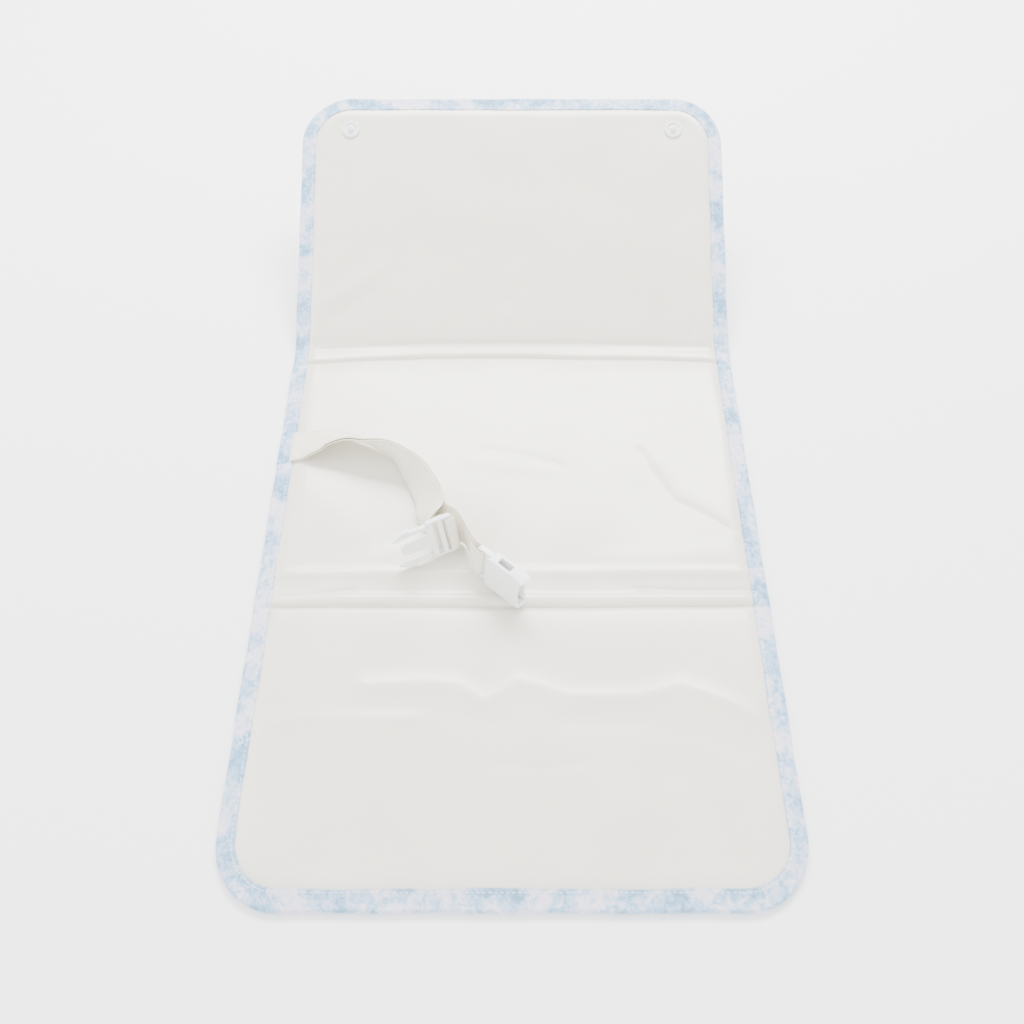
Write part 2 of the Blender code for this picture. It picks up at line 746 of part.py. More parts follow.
def arm_mesh(name, side, frame):
    """A spring arm with its barbed head; side is +1 or -1 along the plug's Y."""
    root = arm_root_x()
    reach = PRONG_LENGTH - GAP
    y = ARM_ROOT_Y
    outline = [
        (root, y - 1.5 * MM),
        (root, y + 1.5 * MM),
        (root + 0.45 * reach, y + 1.8 * MM),
        (root + 0.55 * reach, y + 3.3 * MM),
        (root + 0.70 * reach, y + 3.3 * MM),
        (root + reach, y - 0.5 * MM),
        (root + reach, y - 2.3 * MM),
        (root + 0.68 * reach, y - 1.5 * MM),
        (root + 0.30 * reach, y - 0.9 * MM),
    ]
    outline = [(x, side * across) for x, across in outline]
    return outline_mesh(name, outline, [], ARM_THICKNESS / 2, frame)


def socket_mesh_parts(frame):
    """The socket's body outline and its strap frame outline, each as a mesh."""
    half = BUCKLE_WIDTH / 2
    bar = BAR_WIDTH / 2
    slot_half = half - RAIL_WIDTH
    slot_end = bar + SLOT_WIDTH
    body_start = slot_end + BAR_WIDTH
    mouth = body_start + SOCKET_LENGTH
    chamfer = 2.0 * MM
    body = [
        (body_start, -half + chamfer),
        (body_start + chamfer, -half),
        (mouth - 6.0 * MM, -half),
        (mouth, -half + 1.4 * MM),
    ]
    for step in range(1, 8):
        across = -half + 1.4 * MM + step * (2 * half - 2.8 * MM) / 8
        notch = 3.0 * MM * (1.0 - (across / half) ** 2)
        body.append((mouth - notch, across))
    body += [
        (mouth, half - 1.4 * MM),
        (mouth - 6.0 * MM, half),
        (body_start + chamfer, half),
        (body_start, half - chamfer),
    ]
    rail = half - 0.2 * MM
    strap_frame = [
        (-bar, -rail + 1.2 * MM),
        (-bar + 1.2 * MM, -rail),
        (body_start + 2.5 * MM, -rail),
        (body_start + 2.5 * MM, rail),
        (-bar + 1.2 * MM, rail),
        (-bar, rail - 1.2 * MM),
    ]
    slot = [(bar, -slot_half), (bar, slot_half), (slot_end, slot_half), (slot_end, -slot_half)]
    shell = outline_mesh("buckle_socket", body, [], SHELL_THICKNESS / 2, frame)
    loop = outline_mesh("socket_strap_frame", strap_frame, [slot], FRAME_THICKNESS / 2, frame)
    return shell, loop, body_start, mouth


def add_socket_half(frame, carrier):
    """The buckle's socket: a hollow shell with a strap bar, a mouth and two side windows."""
    shell, loop, body_start, mouth = socket_mesh_parts(frame)
    socket = add_part("buckle_socket", shell, "buckle", carrier)
    strap_frame = add_guide("socket_strap_frame", loop)
    window_start = body_start + 7.0 * MM
    window_end = window_start + 10.5 * MM
    cavity_start = body_start + 5.5 * MM
    half = BUCKLE_WIDTH / 2
    boxes = (
        ("cavity", cavity_start, mouth + 2 * MM, CAVITY_WIDTH / 2, CAVITY_HEIGHT / 2),
        ("side_windows", window_start, window_end, half + 2 * MM, CAVITY_HEIGHT / 2 - GAP),
    )
    cutters = []
    for name, start, end, across, rise in boxes:
        mesh = box_mesh(name, (start, -across, -rise), (end, across, rise))
        mesh.transform(frame)
        cutters.append(add_guide(name, mesh))
    for guide in (strap_frame, *cutters):
        guide.parent = carrier
        guide.location = -Vector(carrier["axis_at"])
    cut(socket, strap_frame, "UNION")
    for cutter in cutters:
        cut(socket, cutter)


def add_strap(carrier):
    """Two layers of webbing and the two halves of the buckle."""
    plug = local_frame(PLUG_BAR, PLUG_AXIS, PLUG_WIDTHWAYS)
    socket = local_frame(SOCKET_BAR, SOCKET_AXIS, SOCKET_WIDTHWAYS)
    layer = (WEBBING_THICKNESS + LAYER_GAP) / 2
    shared = [(*row, 1.0) for row in shared_stations()]

    behind_bar = to_stations([(10.5, 7.0), (4.5, 5.6)], plug)
    to_plug = [(*behind_bar[0], 1.0), (*behind_bar[1], 0.4)]
    to_plug += [(*row, 0.0) for row in to_stations(bar_loop(75.0, 345.0, 9), plug)]
    parting = [(*row[:-1], spread) for row, spread in zip(shared[-3:], (1.2, 1.8, 2.8))]
    mesh = webbing("webbing_plug", metres(shared[:-3] + parting + to_plug), layer)
    add_part("webbing_plug", mesh, "webbing", carrier)

    side = -PAD_WIDTH / 2 / MM
    face = PAD_HEIGHT / MM
    passing = [
        (side + 121.2, 52.0, face + 11.6, 0.62, 0.30, 0.72, 1.0),
        (side + 129.4, 47.0, face + 12.8, 0.36, 0.32, 0.87, 1.0),
        (side + 137.2, 40.6, face + 13.6, 0.06, 0.10, 0.99, 1.0),
        (side + 141.8, 32.0, face + 14.4, 0.05, 0.08, 1.00, 0.5),
    ]
    into_bar = [(-6.0, -2.6)] + bar_loop(-100.0, 100.0, 8)
    into_bar += [(-5.0, 2.2), (-8.0, 1.0)]
    to_socket = [(*row, 0.0) for row in to_stations(into_bar, socket)]
    mesh = webbing("webbing_socket", metres(shared + passing + to_socket), -layer)
    add_part("webbing_socket", mesh, "webbing", carrier)

    add_part("plug_frame", plug_frame_mesh(plug), "buckle", carrier)
    add_socket_half(socket, carrier)
    for name, side in (("left", 1.0), ("right", -1.0)):
        axis_at = tuple(plug @ Vector((arm_root_x(), side * ARM_ROOT_Y, 0.0)))
        empty = add_carrier(f"plug_arm_{name}_axis", axis_at, carrier)
        mesh = arm_mesh(f"plug_arm_{name}", side, plug)
        add_part(f"plug_arm_{name}", mesh, "buckle", empty)


def centre_over_floor(root):
    """Move the whole pad so that the origin is under the middle of its box."""
    bpy.context.view_layer.update()
    graph = bpy.context.evaluated_depsgraph_get()
    corners = []
    for part in bpy.data.collections[PARTS].objects:
        if part.type == "MESH":
            mesh = part.evaluated_get(graph).to_mesh()
            flat = np.zeros(len(mesh.vertices) * 3, np.float32)
            mesh.vertices.foreach_get("co", flat)
            matrix = np.array(part.matrix_world)
            world = flat.reshape(-1, 3) @ matrix[:3, :3].T + matrix[:3, 3]
            corners += [world.min(axis=0), world.max(axis=0)]
    corners = np.array(corners)
    low = corners.min(axis=0)
    high = corners.max(axis=0)
    root.location = (-(low[0] + high[0]) / 2, -(low[1] + high[1]) / 2, -low[2])
    bpy.context.view_layer.update()


def build():
    clear_scene()
    root = add_carrier("pad_origin", (0.0, 0.0, 0.0), None)
    head_axis = (0.0, MIDDLE_LENGTH, UPPER_AXIS_HEIGHT)
    strap_axis = (-PAD_WIDTH / 2 + BINDING_WIDTH / 2 + 1.0 * MM, STRAP_Y, STRAP_AXIS_HEIGHT)
    head = add_carrier("head_fold_axis", head_axis, root, HEAD_TILT)
    foot = add_carrier("foot_fold_axis", (0.0, 0.0, LOWER_AXIS_HEIGHT), root)
    strap = add_carrier("strap_swing_axis", strap_axis, root)
    add_middle(root)
    add_head(head)
    add_foot(foot)
    add_strap(strap)
    centre_over_floor(root)


build()
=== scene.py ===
"""A folding changing pad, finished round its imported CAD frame.

Sizes are metres in the frame's own axes: X across the pad, Y from the foot end to the head end,
Z up from the floor. The pad is first worked out flat, as (across, along, height), and then bent
at the upper fold to the tilt that the head panel has at rest.
"""

import json
import math

import bmesh
import bpy
import numpy as np
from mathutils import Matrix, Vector


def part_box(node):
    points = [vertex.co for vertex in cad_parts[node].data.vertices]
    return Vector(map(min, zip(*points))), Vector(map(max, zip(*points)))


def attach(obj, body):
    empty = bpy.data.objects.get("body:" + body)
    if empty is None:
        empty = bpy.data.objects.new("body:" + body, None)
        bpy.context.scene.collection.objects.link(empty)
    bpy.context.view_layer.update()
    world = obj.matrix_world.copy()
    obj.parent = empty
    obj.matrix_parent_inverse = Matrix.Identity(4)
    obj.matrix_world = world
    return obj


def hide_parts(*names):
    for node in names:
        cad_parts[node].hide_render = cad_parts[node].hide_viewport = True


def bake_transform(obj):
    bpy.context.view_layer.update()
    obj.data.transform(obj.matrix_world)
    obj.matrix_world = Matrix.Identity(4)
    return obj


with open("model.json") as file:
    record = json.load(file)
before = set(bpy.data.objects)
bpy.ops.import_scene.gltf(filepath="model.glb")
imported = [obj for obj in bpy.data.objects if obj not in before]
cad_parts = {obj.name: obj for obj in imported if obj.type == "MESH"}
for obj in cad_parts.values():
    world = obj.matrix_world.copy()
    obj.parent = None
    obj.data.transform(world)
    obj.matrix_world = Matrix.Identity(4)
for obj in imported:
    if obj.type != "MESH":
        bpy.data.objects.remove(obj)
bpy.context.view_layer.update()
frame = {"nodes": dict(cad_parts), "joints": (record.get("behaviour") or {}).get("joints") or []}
JOINTS = {joint["name"]: joint for joint in frame["joints"]}
MM = 0.001

bl_info = {
    "name": "Folding changing pad",
    "version": (1, 0, 0),
    "blender": (4, 5, 0),
    "location": "View3D > Sidebar > Changing pad",
    "description": "Builds the pad's panels, bound edge, press studs, strap and buckle",
    "category": "Add Mesh",
}

# Places that come from the frame.
UPPER_FOLD = Vector(JOINTS["head_fold"]["pos_m"])
LOWER_FOLD = Vector(JOINTS["foot_fold"]["pos_m"])
HEAD_TILT = -math.radians(JOINTS["head_fold"]["range_deg"][0])
HALF_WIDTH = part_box("binding_head")[1].x
FOOT_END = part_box("binding_foot")[0].y
HEAD_LENGTH = 212.0 * MM
HEAD_END = UPPER_FOLD.y + HEAD_LENGTH
MID_SPLIT = (UPPER_FOLD.y + LOWER_FOLD.y) / 2
PANEL_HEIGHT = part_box("face_middle")[1].z
STUD_X = (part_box("stud_right")[0].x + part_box("stud_right")[1].x) / 2
STUD_ALONG = HEAD_END - 30 * MM

# Sizes that belong to the making and not to a user.
BEND_REACH = 8.0 * MM  # how far to each side of a fold the cloth bends
INSET = 1.2 * MM  # from the outline to the panels' rim, inside the binding
PANEL_COLUMNS, BACK_COLUMNS = 150, 70
BACK_CLOTH = 0.3 * MM
BACK_HEIGHT, TURN_UNDER = 0.45 * MM, 0.5 * MM
WAVE_HEIGHT = 0.15 * MM
DIMPLE_DEPTH, DIMPLE_REACH = 0.7 * MM, 11 * MM  # where a press stud pulls the face down
TAPE_LIFT = 0.04 * MM  # from the face to the binding
TAPE_NOSE = 2.2 * MM  # length of the binding's rounded fold
TAPE_FLOOR = 0.6 * MM  # height of the binding's inner side where it is turned under
SEAM_INSET = 1.8 * MM  # from the binding's inner edge to its stitches
LAYER_GAP = 0.5  # between the strap's two layers, in millimetres
# Length and radius of a stitch: along the binding, along the strap and in a bar tack.
EDGE_STITCH = (2.5 * MM, 0.24 * MM)
STRAP_STITCH = (2.3 * MM, 0.2 * MM)
TACK_STITCH = (1.9 * MM, 0.24 * MM)
RING_COUNT, RING_SIDES = 5, 6  # rings of a stitch, and points in each


def linear(code):
    """An sRGB hex colour as the linear red, green and blue that shaders take."""
    channels = [(code >> shift & 255) / 255 for shift in (16, 8, 0)]
    return [c / 12.92 if c <= 0.04045 else ((c + 0.055) / 1.055) ** 2.4 for c in channels]


def rgba(tint):
    """A colour with full opacity, as a node's colour socket takes it."""
    return (*tint, 1.0)


def length(name, description, default):
    """A property that holds a length in metres."""
    return bpy.props.FloatProperty(
        name=name, description=description, default=default, unit="LENGTH", precision=5
    )


def colour(name, description, code):
    """A property that holds a colour, given as an sRGB hex code."""
    return bpy.props.FloatVectorProperty(
        name=name, description=description, default=linear(code), subtype="COLOR", size=3
    )


class PadSizes(bpy.types.PropertyGroup):
    """Sizes of the soft parts and the trim."""

    corner_radius: length("Corner radius", "Rounding of the pad's four corners", 40 * MM)
    hem_height: length("Hem height", "Height of the face under the binding", 3.8 * MM)
    hem_reach: length("Hem reach", "How far in from the edge the foam gets its height", 19 * MM)
    binding_width: length("Binding width", "Binding seen on the face", 12.0 * MM)
    binding_cloth: length("Binding cloth", "Thickness of the binding", 0.6 * MM)
    stitch_pitch: length("Stitch pitch", "From one stitch to the next", 3.3 * MM)
    stud_radius: length("Stud radius", "Outside radius of a press stud", 7.2 * MM)
    webbing_width: length("Webbing width", "Width of the strap", 25 * MM)
    webbing_thickness: length("Webbing thickness", "Thickness of the strap", 1.0 * MM)


class PadColours(bpy.types.PropertyGroup):
    """Colours of the cloth, the plastic and the floor."""

    face: colour("Face", "Wipe-clean laminated face", 0xDFDCD0)
    back: colour("Back", "Woven back cloth", 0xE6E4DE)
    print_ground: colour("Print ground", "Pale ground of the printed binding", 0xE4E1EE)
    print_blue: colour("Print blue", "Blue of the printed binding", 0x92BCDA)
    webbing: colour("Webbing", "Cream strap webbing", 0xF6EFDF)
    buckle: colour("Buckle", "Moulded buckle halves", 0xF0F1F1)
    stud: colour("Stud", "Press studs and their caps", 0xE9E9EC)
    thread: colour("Thread", "Sewing thread of the binding", 0xF1F0F0)
    strap_thread: colour("Strap thread", "Thread along the strap's edges", 0xDCCDB0)
    floor: colour("Floor", "Studio floor", 0xFCFCFC)


def sizes():
    """The pad's sizes as they stand in the scene."""
    return bpy.context.scene.pad_sizes


def colours():
    """The pad's colours as they stand in the scene."""
    return bpy.context.scene.pad_colours


# ---- mesh code -------------------------------------------------------


def ramp(value, low, high):
    """Smooth step: 0 below low, 1 above high, and 3t^2 - 2t^3 between."""
    t = np.clip((value - low) / (high - low), 0.0, 1.0)
    return t * t * (3.0 - 2.0 * t)


def shell_faces(rows, columns):
    """Quads of two rows-by-columns grids, the second under the first, joined round their edge."""
    index = np.arange(rows * columns).reshape(rows, columns)
    upper = np.stack([index[:-1, :-1], index[1:, :-1], index[1:, 1:], index[:-1, 1:]], -1)
    upper = upper.reshape(-1, 4)
    lower = upper[:, ::-1] + rows * columns
    rim = np.concatenate([index[0, :], index[1:, -1], index[-1, -2::-1], index[-2:0:-1, 0]])
    after = np.roll(rim, -1)
    below = rows * columns
    wall = np.stack([rim, after, after + below, rim + below], -1)
    return np.vstack([upper, lower, wall]), rim


def tube_faces(rows, columns):
    """Quads of rings of points, each ring closed on itself, with a face over each end."""
    index = np.arange(rows * columns).reshape(rows, columns)
    after = np.roll(index, -1, axis=1)
    sides = np.stack([index[:-1], index[1:], after[1:], after[:-1]], -1).reshape(-1, 4)
    return sides.tolist() + [index[0].tolist(), index[-1][::-1].tolist()]


def signed_volume(points, faces):
    """Six times the volume inside quads, as the sum of (a x b).c + (a x c).d.

    It is negative when they point inwards.
    """
    a, b, c, d = (points[faces[:, k]] for k in range(4))
    return (np.cross(a, b) * c).sum() + (np.cross(a, c) * d).sum()


def add_object(name, data):
    """A new object of the scene that holds this mesh, light or camera."""
    obj = bpy.data.objects.new(name, data)
    bpy.context.scene.collection.objects.link(obj)
    return obj


def add_piece(name, points, faces, finish_name, uv=None, sharp_rim=None):
    """A mesh object from points and faces, with its finish, UV map and sharp rim.

    Faces that come as an array are the quads of a closed form, and are turned to point outwards.
    """
    points = np.asarray(points, float).reshape(-1, 3)
    if isinstance(faces, np.ndarray):
        if signed_volume(points, faces) < 0:
            faces = faces[:, ::-1]
        faces = faces.tolist()
    mesh = bpy.data.meshes.new(name)
    mesh.from_pydata(points.tolist(), [], faces)
    mesh.update()
    if uv is not None:
        corner = np.empty(len(mesh.loops), np.int32)
        mesh.loops.foreach_get("vertex_index", corner)
        layer = mesh.uv_layers.new(name="flat")
        layer.uv.foreach_set("vector", np.asarray(uv, np.float32).reshape(-1, 2)[corner].ravel())
    mesh.polygons.foreach_set("use_smooth", np.ones(len(mesh.polygons), bool))
    if sharp_rim is not None:
        on_rim = np.zeros(len(points), bool)
        on_rim[sharp_rim] = True
        on_rim[sharp_rim + len(points) // 2] = True
        ends = np.empty(len(mesh.edges) * 2, np.int32)
        mesh.edges.foreach_get("vertices", ends)
        ends = ends.reshape(-1, 2)
        beneath = ends >= len(points) // 2
        sharp = on_rim[ends].all(1) & (beneath[:, 0] == beneath[:, 1])
        mesh.edges.foreach_set("use_edge_sharp", sharp)
    mesh.materials.append(finish(finish_name))
    return add_object(name, mesh)


def recalculate_outside(obj):
    """Merges doubled points and turns every face of a closed mesh outwards."""
    work = bmesh.new()
    work.from_mesh(obj.data)
    bmesh.ops.remove_doubles(work, verts=work.verts, dist=1e-6)
    bmesh.ops.recalc_face_normals(work, faces=work.faces)
    work.to_mesh(obj.data)
    work.free()
    obj.data.update()


# ---- the pad's flat shape --------------------------------------------


def bend(points):
    """Flat places to rest places.

    Past the upper fold a point turns about the fold's axis by the head's tilt, times a smooth
    step from 0 to 1 across the fold.
    """
    x, along, height = (points[..., k] for k in range(3))
    turn = HEAD_TILT * ramp(along, UPPER_FOLD.y - BEND_REACH, UPPER_FOLD.y + BEND_REACH)
    out, up = along - UPPER_FOLD.y, height - UPPER_FOLD.z
    y = UPPER_FOLD.y + np.cos(turn) * out - np.sin(turn) * up
    z = UPPER_FOLD.z + np.sin(turn) * out + np.cos(turn) * up
    return np.stack([x, y, z], -1)


def edge_distance(x, along):
    """How far a place is inside the pad's outline, a rectangle with round corners.

    With o how far the place is past a corner's centre: r - |max(o, 0)| - min(max(ox, oy), 0).
    """
    radius = sizes().corner_radius
    middle, half = (HEAD_END + FOOT_END) / 2, (HEAD_END - FOOT_END) / 2
    over_x = np.abs(x) - (HALF_WIDTH - radius)
    over_y = np.abs(along - middle) - (half - radius)
    corner = np.hypot(np.maximum(over_x, 0), np.maximum(over_y, 0))
    return radius - corner - np.minimum(np.maximum(over_x, over_y), 0)


def distance_to(x, along, path):
    """Shortest distance from each place to a line of (x, along) points in millimetres."""
    nearest = np.full(np.broadcast(x, along).shape, 1e9)
    for (ax, ay), (bx, by) in zip(path[:-1], path[1:]):
        dx, dy = (bx - ax) * MM, (by - ay) * MM
        px, py = x - ax * MM, along - ay * MM
        t = np.clip((px * dx + py * dy) / (dx * dx + dy * dy), 0, 1)
        nearest = np.minimum(nearest, np.hypot(px - t * dx, py - t * dy))
    return nearest


# Each crease: height in millimetres (negative sinks), half width, and the line that it follows.
FOLD_CREASES = (
    (-2.8, 1.5, ((-172, 92), (-120, 95.5), (-63, 98.5), (7, 98.5), (121, 96.5), (172, 93))),
    (0.5, 3.0, ((-172, 101), (-60, 104), (60, 104), (172, 101))),
    (-0.45, 1.6, ((-150, 106), (-60, 109.5), (60, 109.5), (150, 107))),
    (-1.5, 14.0, ((-172, 102), (172, 102))),
    (1.2, 4.2, ((-172, -94), (-60, -93), (0, -92.5), (172, -92))),
    (-1.6, 15.0, ((-172, -109), (172, -109))),
    (1.2, 3.2, ((-172, -111), (172, -110.5))),
    (-0.9, 1.5, ((82, -104), (120, -105.5), (166, -104.5))),
    (-0.9, 1.7, ((-166, -110.5), (-135, -109.5), (-104, -105))),
    (-2.8, 1.7, ((-172, -117.5), (-60, -117), (40, -117.5), (172, -116))),
)
LONG_WRINKLE = (
    (-92, -173), (-56, -171), (-34, -173), (-16, -184), (4, -170), (18, -174), (34, -180),
    (79, -180), (105, -173), (134, -184), (160, -199),
)
WRINKLES = (
    (0.8, 7.0, ((-146, 142), (-124, 155), (-104, 170))),
    (0.3, 2.4, ((-148, 141), (-126, 154), (-108, 168))),
    (-0.6, 5.0, ((-138, 131), (-112, 149))),
    (-0.8, 6.0, ((-9, 142), (-5, 142))),
    (-0.6, 3.0, ((-151, 236), (-146, 241))),
    (-0.5, 5.0, ((139, 117), (144, 121))),
    (0.5, 18.0, ((-60, 225), (70, 205))),
    (-0.45, 20.0, ((20, 260), (120, 215))),
    (-0.9, 2.6, ((92, 8), (99, -8), (106, -22), (114, -35), (136, -49), (160, -67))),
    (0.5, 9.0, ((108, -4), (122, -26), (142, -40), (160, -52))),
    (-0.35, 3.4, ((-23, 8), (8, 3), (35, -6))),
    (0.35, 8.0, ((-30, 0), (20, -8))),
    (0.9, 20.0, ((-150, -20), (-92, -78))),
    (-0.4, 9.0, ((-128, -84), (-70, -62))),
    (0.5, 12.0, ((30, 60), (110, 52))),
    (0.5, 9.0, ((60, -84), (150, -78))),
    (1.1, 7.5, LONG_WRINKLE),
    (0.4, 2.6, LONG_WRINKLE),
    (-0.5, 7.0, ((-86, -187), (-46, -188), (-15, -196))),
    (-0.5, 7.0, ((30, -195), (84, -196), (140, -211))),
    (0.7, 6.0, ((-143, -195), (-100, -194), (-56, -193))),
    (0.25, 2.2, ((-141, -196), (-96, -195), (-60, -194))),
    (-0.5, 3.6, ((-9, -222), (18, -224), (43, -221))),
    (0.5, 14.0, ((-80, -235), (-20, -250))),
    (0.5, 14.0, ((50, -250), (120, -240))),
)
# Slow undulation of the face: waves across and along in cycles a metre, and a phase each.
WAVES = ((5, 3, 0.4), (-4, 7, 2.1), (9, -5, 4.0), (3, 12, 5.2), (-11, 9, 1.3), (14, 4, 3.1))


def creased(x, along, creases):
    """Sum of creases: depth x exp(-(d / width)^2), where d is the distance to a crease's line."""
    total = np.zeros(np.broadcast(x, along).shape)
    for depth, width, path in creases:
        total += depth * MM * np.exp(-((distance_to(x, along, path) / (width * MM)) ** 2))
    return total


def face_height(x, along):
    """Height of the pad's face over the floor, flat.

    hem + (full - hem) x step(distance from the edge) + creases, waves and the studs' dimples. The
    folds keep a little of their depth under the binding, and the rest fades out before it.
    """
    size = sizes()
    inside = edge_distance(x, along)
    rise = ramp(inside, 2 * MM, size.hem_reach)
    height = size.hem_height + (PANEL_HEIGHT - size.hem_height) * rise
    creases = creased(x, along, WRINKLES)
    for across, lengthways, phase in WAVES:
        wave = np.sin(math.tau * (across * x + lengthways * along) + phase)
        creases += WAVE_HEIGHT * wave
    for side in (-1, 1):
        stud = np.hypot(x - side * STUD_X, along - STUD_ALONG)
        creases -= DIMPLE_DEPTH * np.exp(-((stud / DIMPLE_REACH) ** 2))
    folds = creased(x, along, FOLD_CREASES) * (0.22 + 0.78 * rise)
    return height + folds + creases * ramp(inside, 12 * MM, 26 * MM)


def under_height(x, along):
    """Height of the back cloth's upper side.

    It is BACK_HEIGHT, and a smooth step lifts it by TURN_UNDER onto the binding at the edge.
    """
    inside = edge_distance(x, along)
    return BACK_HEIGHT + TURN_UNDER * (1 - ramp(inside, 12 * MM, 20 * MM))


def panel_rows(half):
    """Distances along one half of the pad, close together at its fold and round its corners."""
    radius = sizes().corner_radius - INSET
    end = (HEAD_END if half > 0 else -FOOT_END) - INSET
    fold = UPPER_FOLD.y if half > 0 else -LOWER_FOLD.y
    start = half * MID_SPLIT
    near, far = fold - 24 * MM, fold + 20 * MM
    return half * np.concatenate([
        np.linspace(start, near, 36, endpoint=False),
        np.linspace(near, far, 58, endpoint=False),
        np.linspace(far, end - radius, 56, endpoint=False),
        end - radius + radius * np.sin(np.linspace(0, math.pi / 2, 22)),
    ])


def panel_grid(half, columns):
    """Places of one half in the flat: rows along it, and columns that keep to the outline.

    Columns stand at u + 0.28 u (1 - u^2) of the half width, so they crowd towards the edges.
    """
    along = panel_rows(half)
    radius = sizes().corner_radius - INSET
    end = (HEAD_END if half > 0 else -FOOT_END) - INSET
    over = np.clip(half * along - (end - radius), 0, radius)
    reach = HALF_WIDTH - INSET - radius + np.sqrt(np.maximum(radius**2 - over**2, 0))
    u = np.linspace(-1, 1, columns)
    t = u * (1 + 0.28 * (1 - u * u))
    x = reach[:, None] * t[None, :]
    return x, np.repeat(along[:, None], columns, axis=1)


def add_layer(name, x, along, over, under, finish_name):
    """A closed layer of the pad between two heights, worked out flat and bent to rest."""
    faces, rim = shell_faces(*x.shape)
    sides = [bend(np.stack([x, along, height], -1)).reshape(-1, 3) for height in (over, under)]
    uv = np.stack([x, along], -1).reshape(-1, 2)
    return add_piece(name, np.vstack(sides), faces, finish_name, np.vstack([uv, uv]), rim)


def bend_with_fold(piece):
    """Bakes a piece's transform into its mesh."""
    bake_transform(piece)


# ---- materials -------------------------------------------------------

ONE_BAND = 0.314  # scale of a wave texture that gives one band a unit: its wave is sin(20 x scale)


def node(tree, kind, inputs=None, stops=(), **settings):
    """Adds a node with its settings, links or sets its inputs, and gives it its colour stops."""
    made = tree.nodes.new(kind)
    for key, value in settings.items():
        setattr(made, key, value)
    for socket, value in (inputs or {}).items():
        if isinstance(value, bpy.types.NodeSocket):
            tree.links.new(value, made.inputs[socket])
        else:
            made.inputs[socket].default_value = value
    if stops:
        elements = made.color_ramp.elements
        while len(elements) < len(stops):
            elements.new(0.5)
        for element, (place, tint) in zip(elements, stops):
            element.position, element.color = place, rgba(tint)
    return made


def shade(tint, factor):
    """A colour made lighter or darker by a factor."""
    return [c * factor for c in tint]


def crossed_yarns(tree, place, spacing, distortion, detail):
    """Height of a weave: two sets of bands, each along one yarn, times each other."""
    scale = (1 / spacing[0], 1 / spacing[1], 1)
    grid = node(tree, "ShaderNodeMapping", {"Vector": place, "Scale": scale})
    bands = {"Vector": grid.outputs[0], "Scale": ONE_BAND, "Distortion": distortion,
             "Detail": detail}
    warp = node(tree, "ShaderNodeTexWave", bands, bands_direction="X")
    weft = node(tree, "ShaderNodeTexWave", bands, bands_direction="Y")
    both = {0: warp.outputs["Fac"], 1: weft.outputs["Fac"]}
    return node(tree, "ShaderNodeMath", both, operation="MULTIPLY").outputs[0]


def laminated_satin(tree):
    """Polyester satin with a clear polyurethane film, calendered on.

    The film gives the broad soft gloss; the yarns under it show as a faint fine grain.
    """
    tint = colours().face
    place = node(tree, "ShaderNodeUVMap", uv_map="flat").outputs[0]
    yarn = 1.1 * MM  # real yarns are 0.3 mm apart; drawn coarser so that they show
    cloth = crossed_yarns(tree, place, (yarn, yarn), 0.6, 2.0)
    cloudy = node(tree, "ShaderNodeTexNoise", {"Vector": place, "Scale": 22.0, "Detail": 3.0})
    cloud = cloudy.outputs["Fac"]
    tone = node(tree, "ShaderNodeValToRGB", {"Fac": cloud},
                ((0.3, shade(tint, 0.965)), (0.7, shade(tint, 1.015))))
    film = node(tree, "ShaderNodeMapRange", {"Value": cloud, "To Min": 0.29, "To Max": 0.41})
    ripple = node(tree, "ShaderNodeTexNoise", {"Vector": place, "Scale": 160.0, "Detail": 4.0})
    soft = node(tree, "ShaderNodeBump", {"Height": ripple.outputs["Fac"], "Strength": 0.8,
                "Distance": 0.12 * MM})
    fine = node(tree, "ShaderNodeBump", {"Height": cloth, "Strength": 0.7,
                "Distance": 0.03 * MM, "Normal": soft.outputs[0]})
    return {"Base Color": tone.outputs["Color"], "Roughness": film.outputs[0],
            "Normal": fine.outputs[0], "IOR": 1.5, "Coat Weight": 0.5,
            "Coat Roughness": 0.2, "Coat IOR": 1.45}


def woven(tree, tint, yarn, depth, dirt_and_weave_shade=0.05, ribs=1.0):
    """Plain-woven cloth: crossed yarns, with patches of uneven tone, and painted shade where the
    yarns sink.

    yarn is the spacing in metres, and ribs stretches the spacing along the cloth.
    """
    place = node(tree, "ShaderNodeUVMap", uv_map="flat").outputs[0]
    cloth = crossed_yarns(tree, place, (yarn * ribs, yarn), 0.8, 1.0)
    patch = node(tree, "ShaderNodeTexNoise", {"Vector": place, "Scale": 90.0, "Detail": 4.0})
    mixed = node(tree, "ShaderNodeMix", {"Factor": 0.5, "A": cloth, "B": patch.outputs["Fac"]},
                 data_type="FLOAT")
    # Painted shade: the tone is darker where the weave's height sinks between the yarns, mixed
    # half and half with random patches of uneven tone.
    tone = node(tree, "ShaderNodeValToRGB", {"Fac": mixed.outputs[0]},
                ((0.15, shade(tint, 1 - 2.2 * dirt_and_weave_shade)),
                 (0.75, shade(tint, 1 + 0.4 * dirt_and_weave_shade))))
    bumps = node(tree, "ShaderNodeBump", {"Height": cloth, "Distance": depth, "Strength": 0.8})
    return {"Base Color": tone.outputs["Color"], "Normal": bumps.outputs[0],
            "Sheen Roughness": 0.5, "IOR": 1.45}


def polyester_back(tree):
    """Plain-woven polyester: matt and soft, with its yarns just showing."""
    cloth = woven(tree, colours().back, 0.9 * MM, 0.06 * MM, 0.06)
    return {**cloth, "Roughness": 0.75, "Sheen Weight": 0.1}


def polyester_webbing(tree):
    """Polyester woven thick and narrow: ribbed, matt, with a bloom from its loose fibres."""
    cloth = woven(tree, colours().webbing, 1.5 * MM, 0.22 * MM, 0.07, 0.8)
    return {**cloth, "Roughness": 0.78, "Sheen Weight": 0.25}


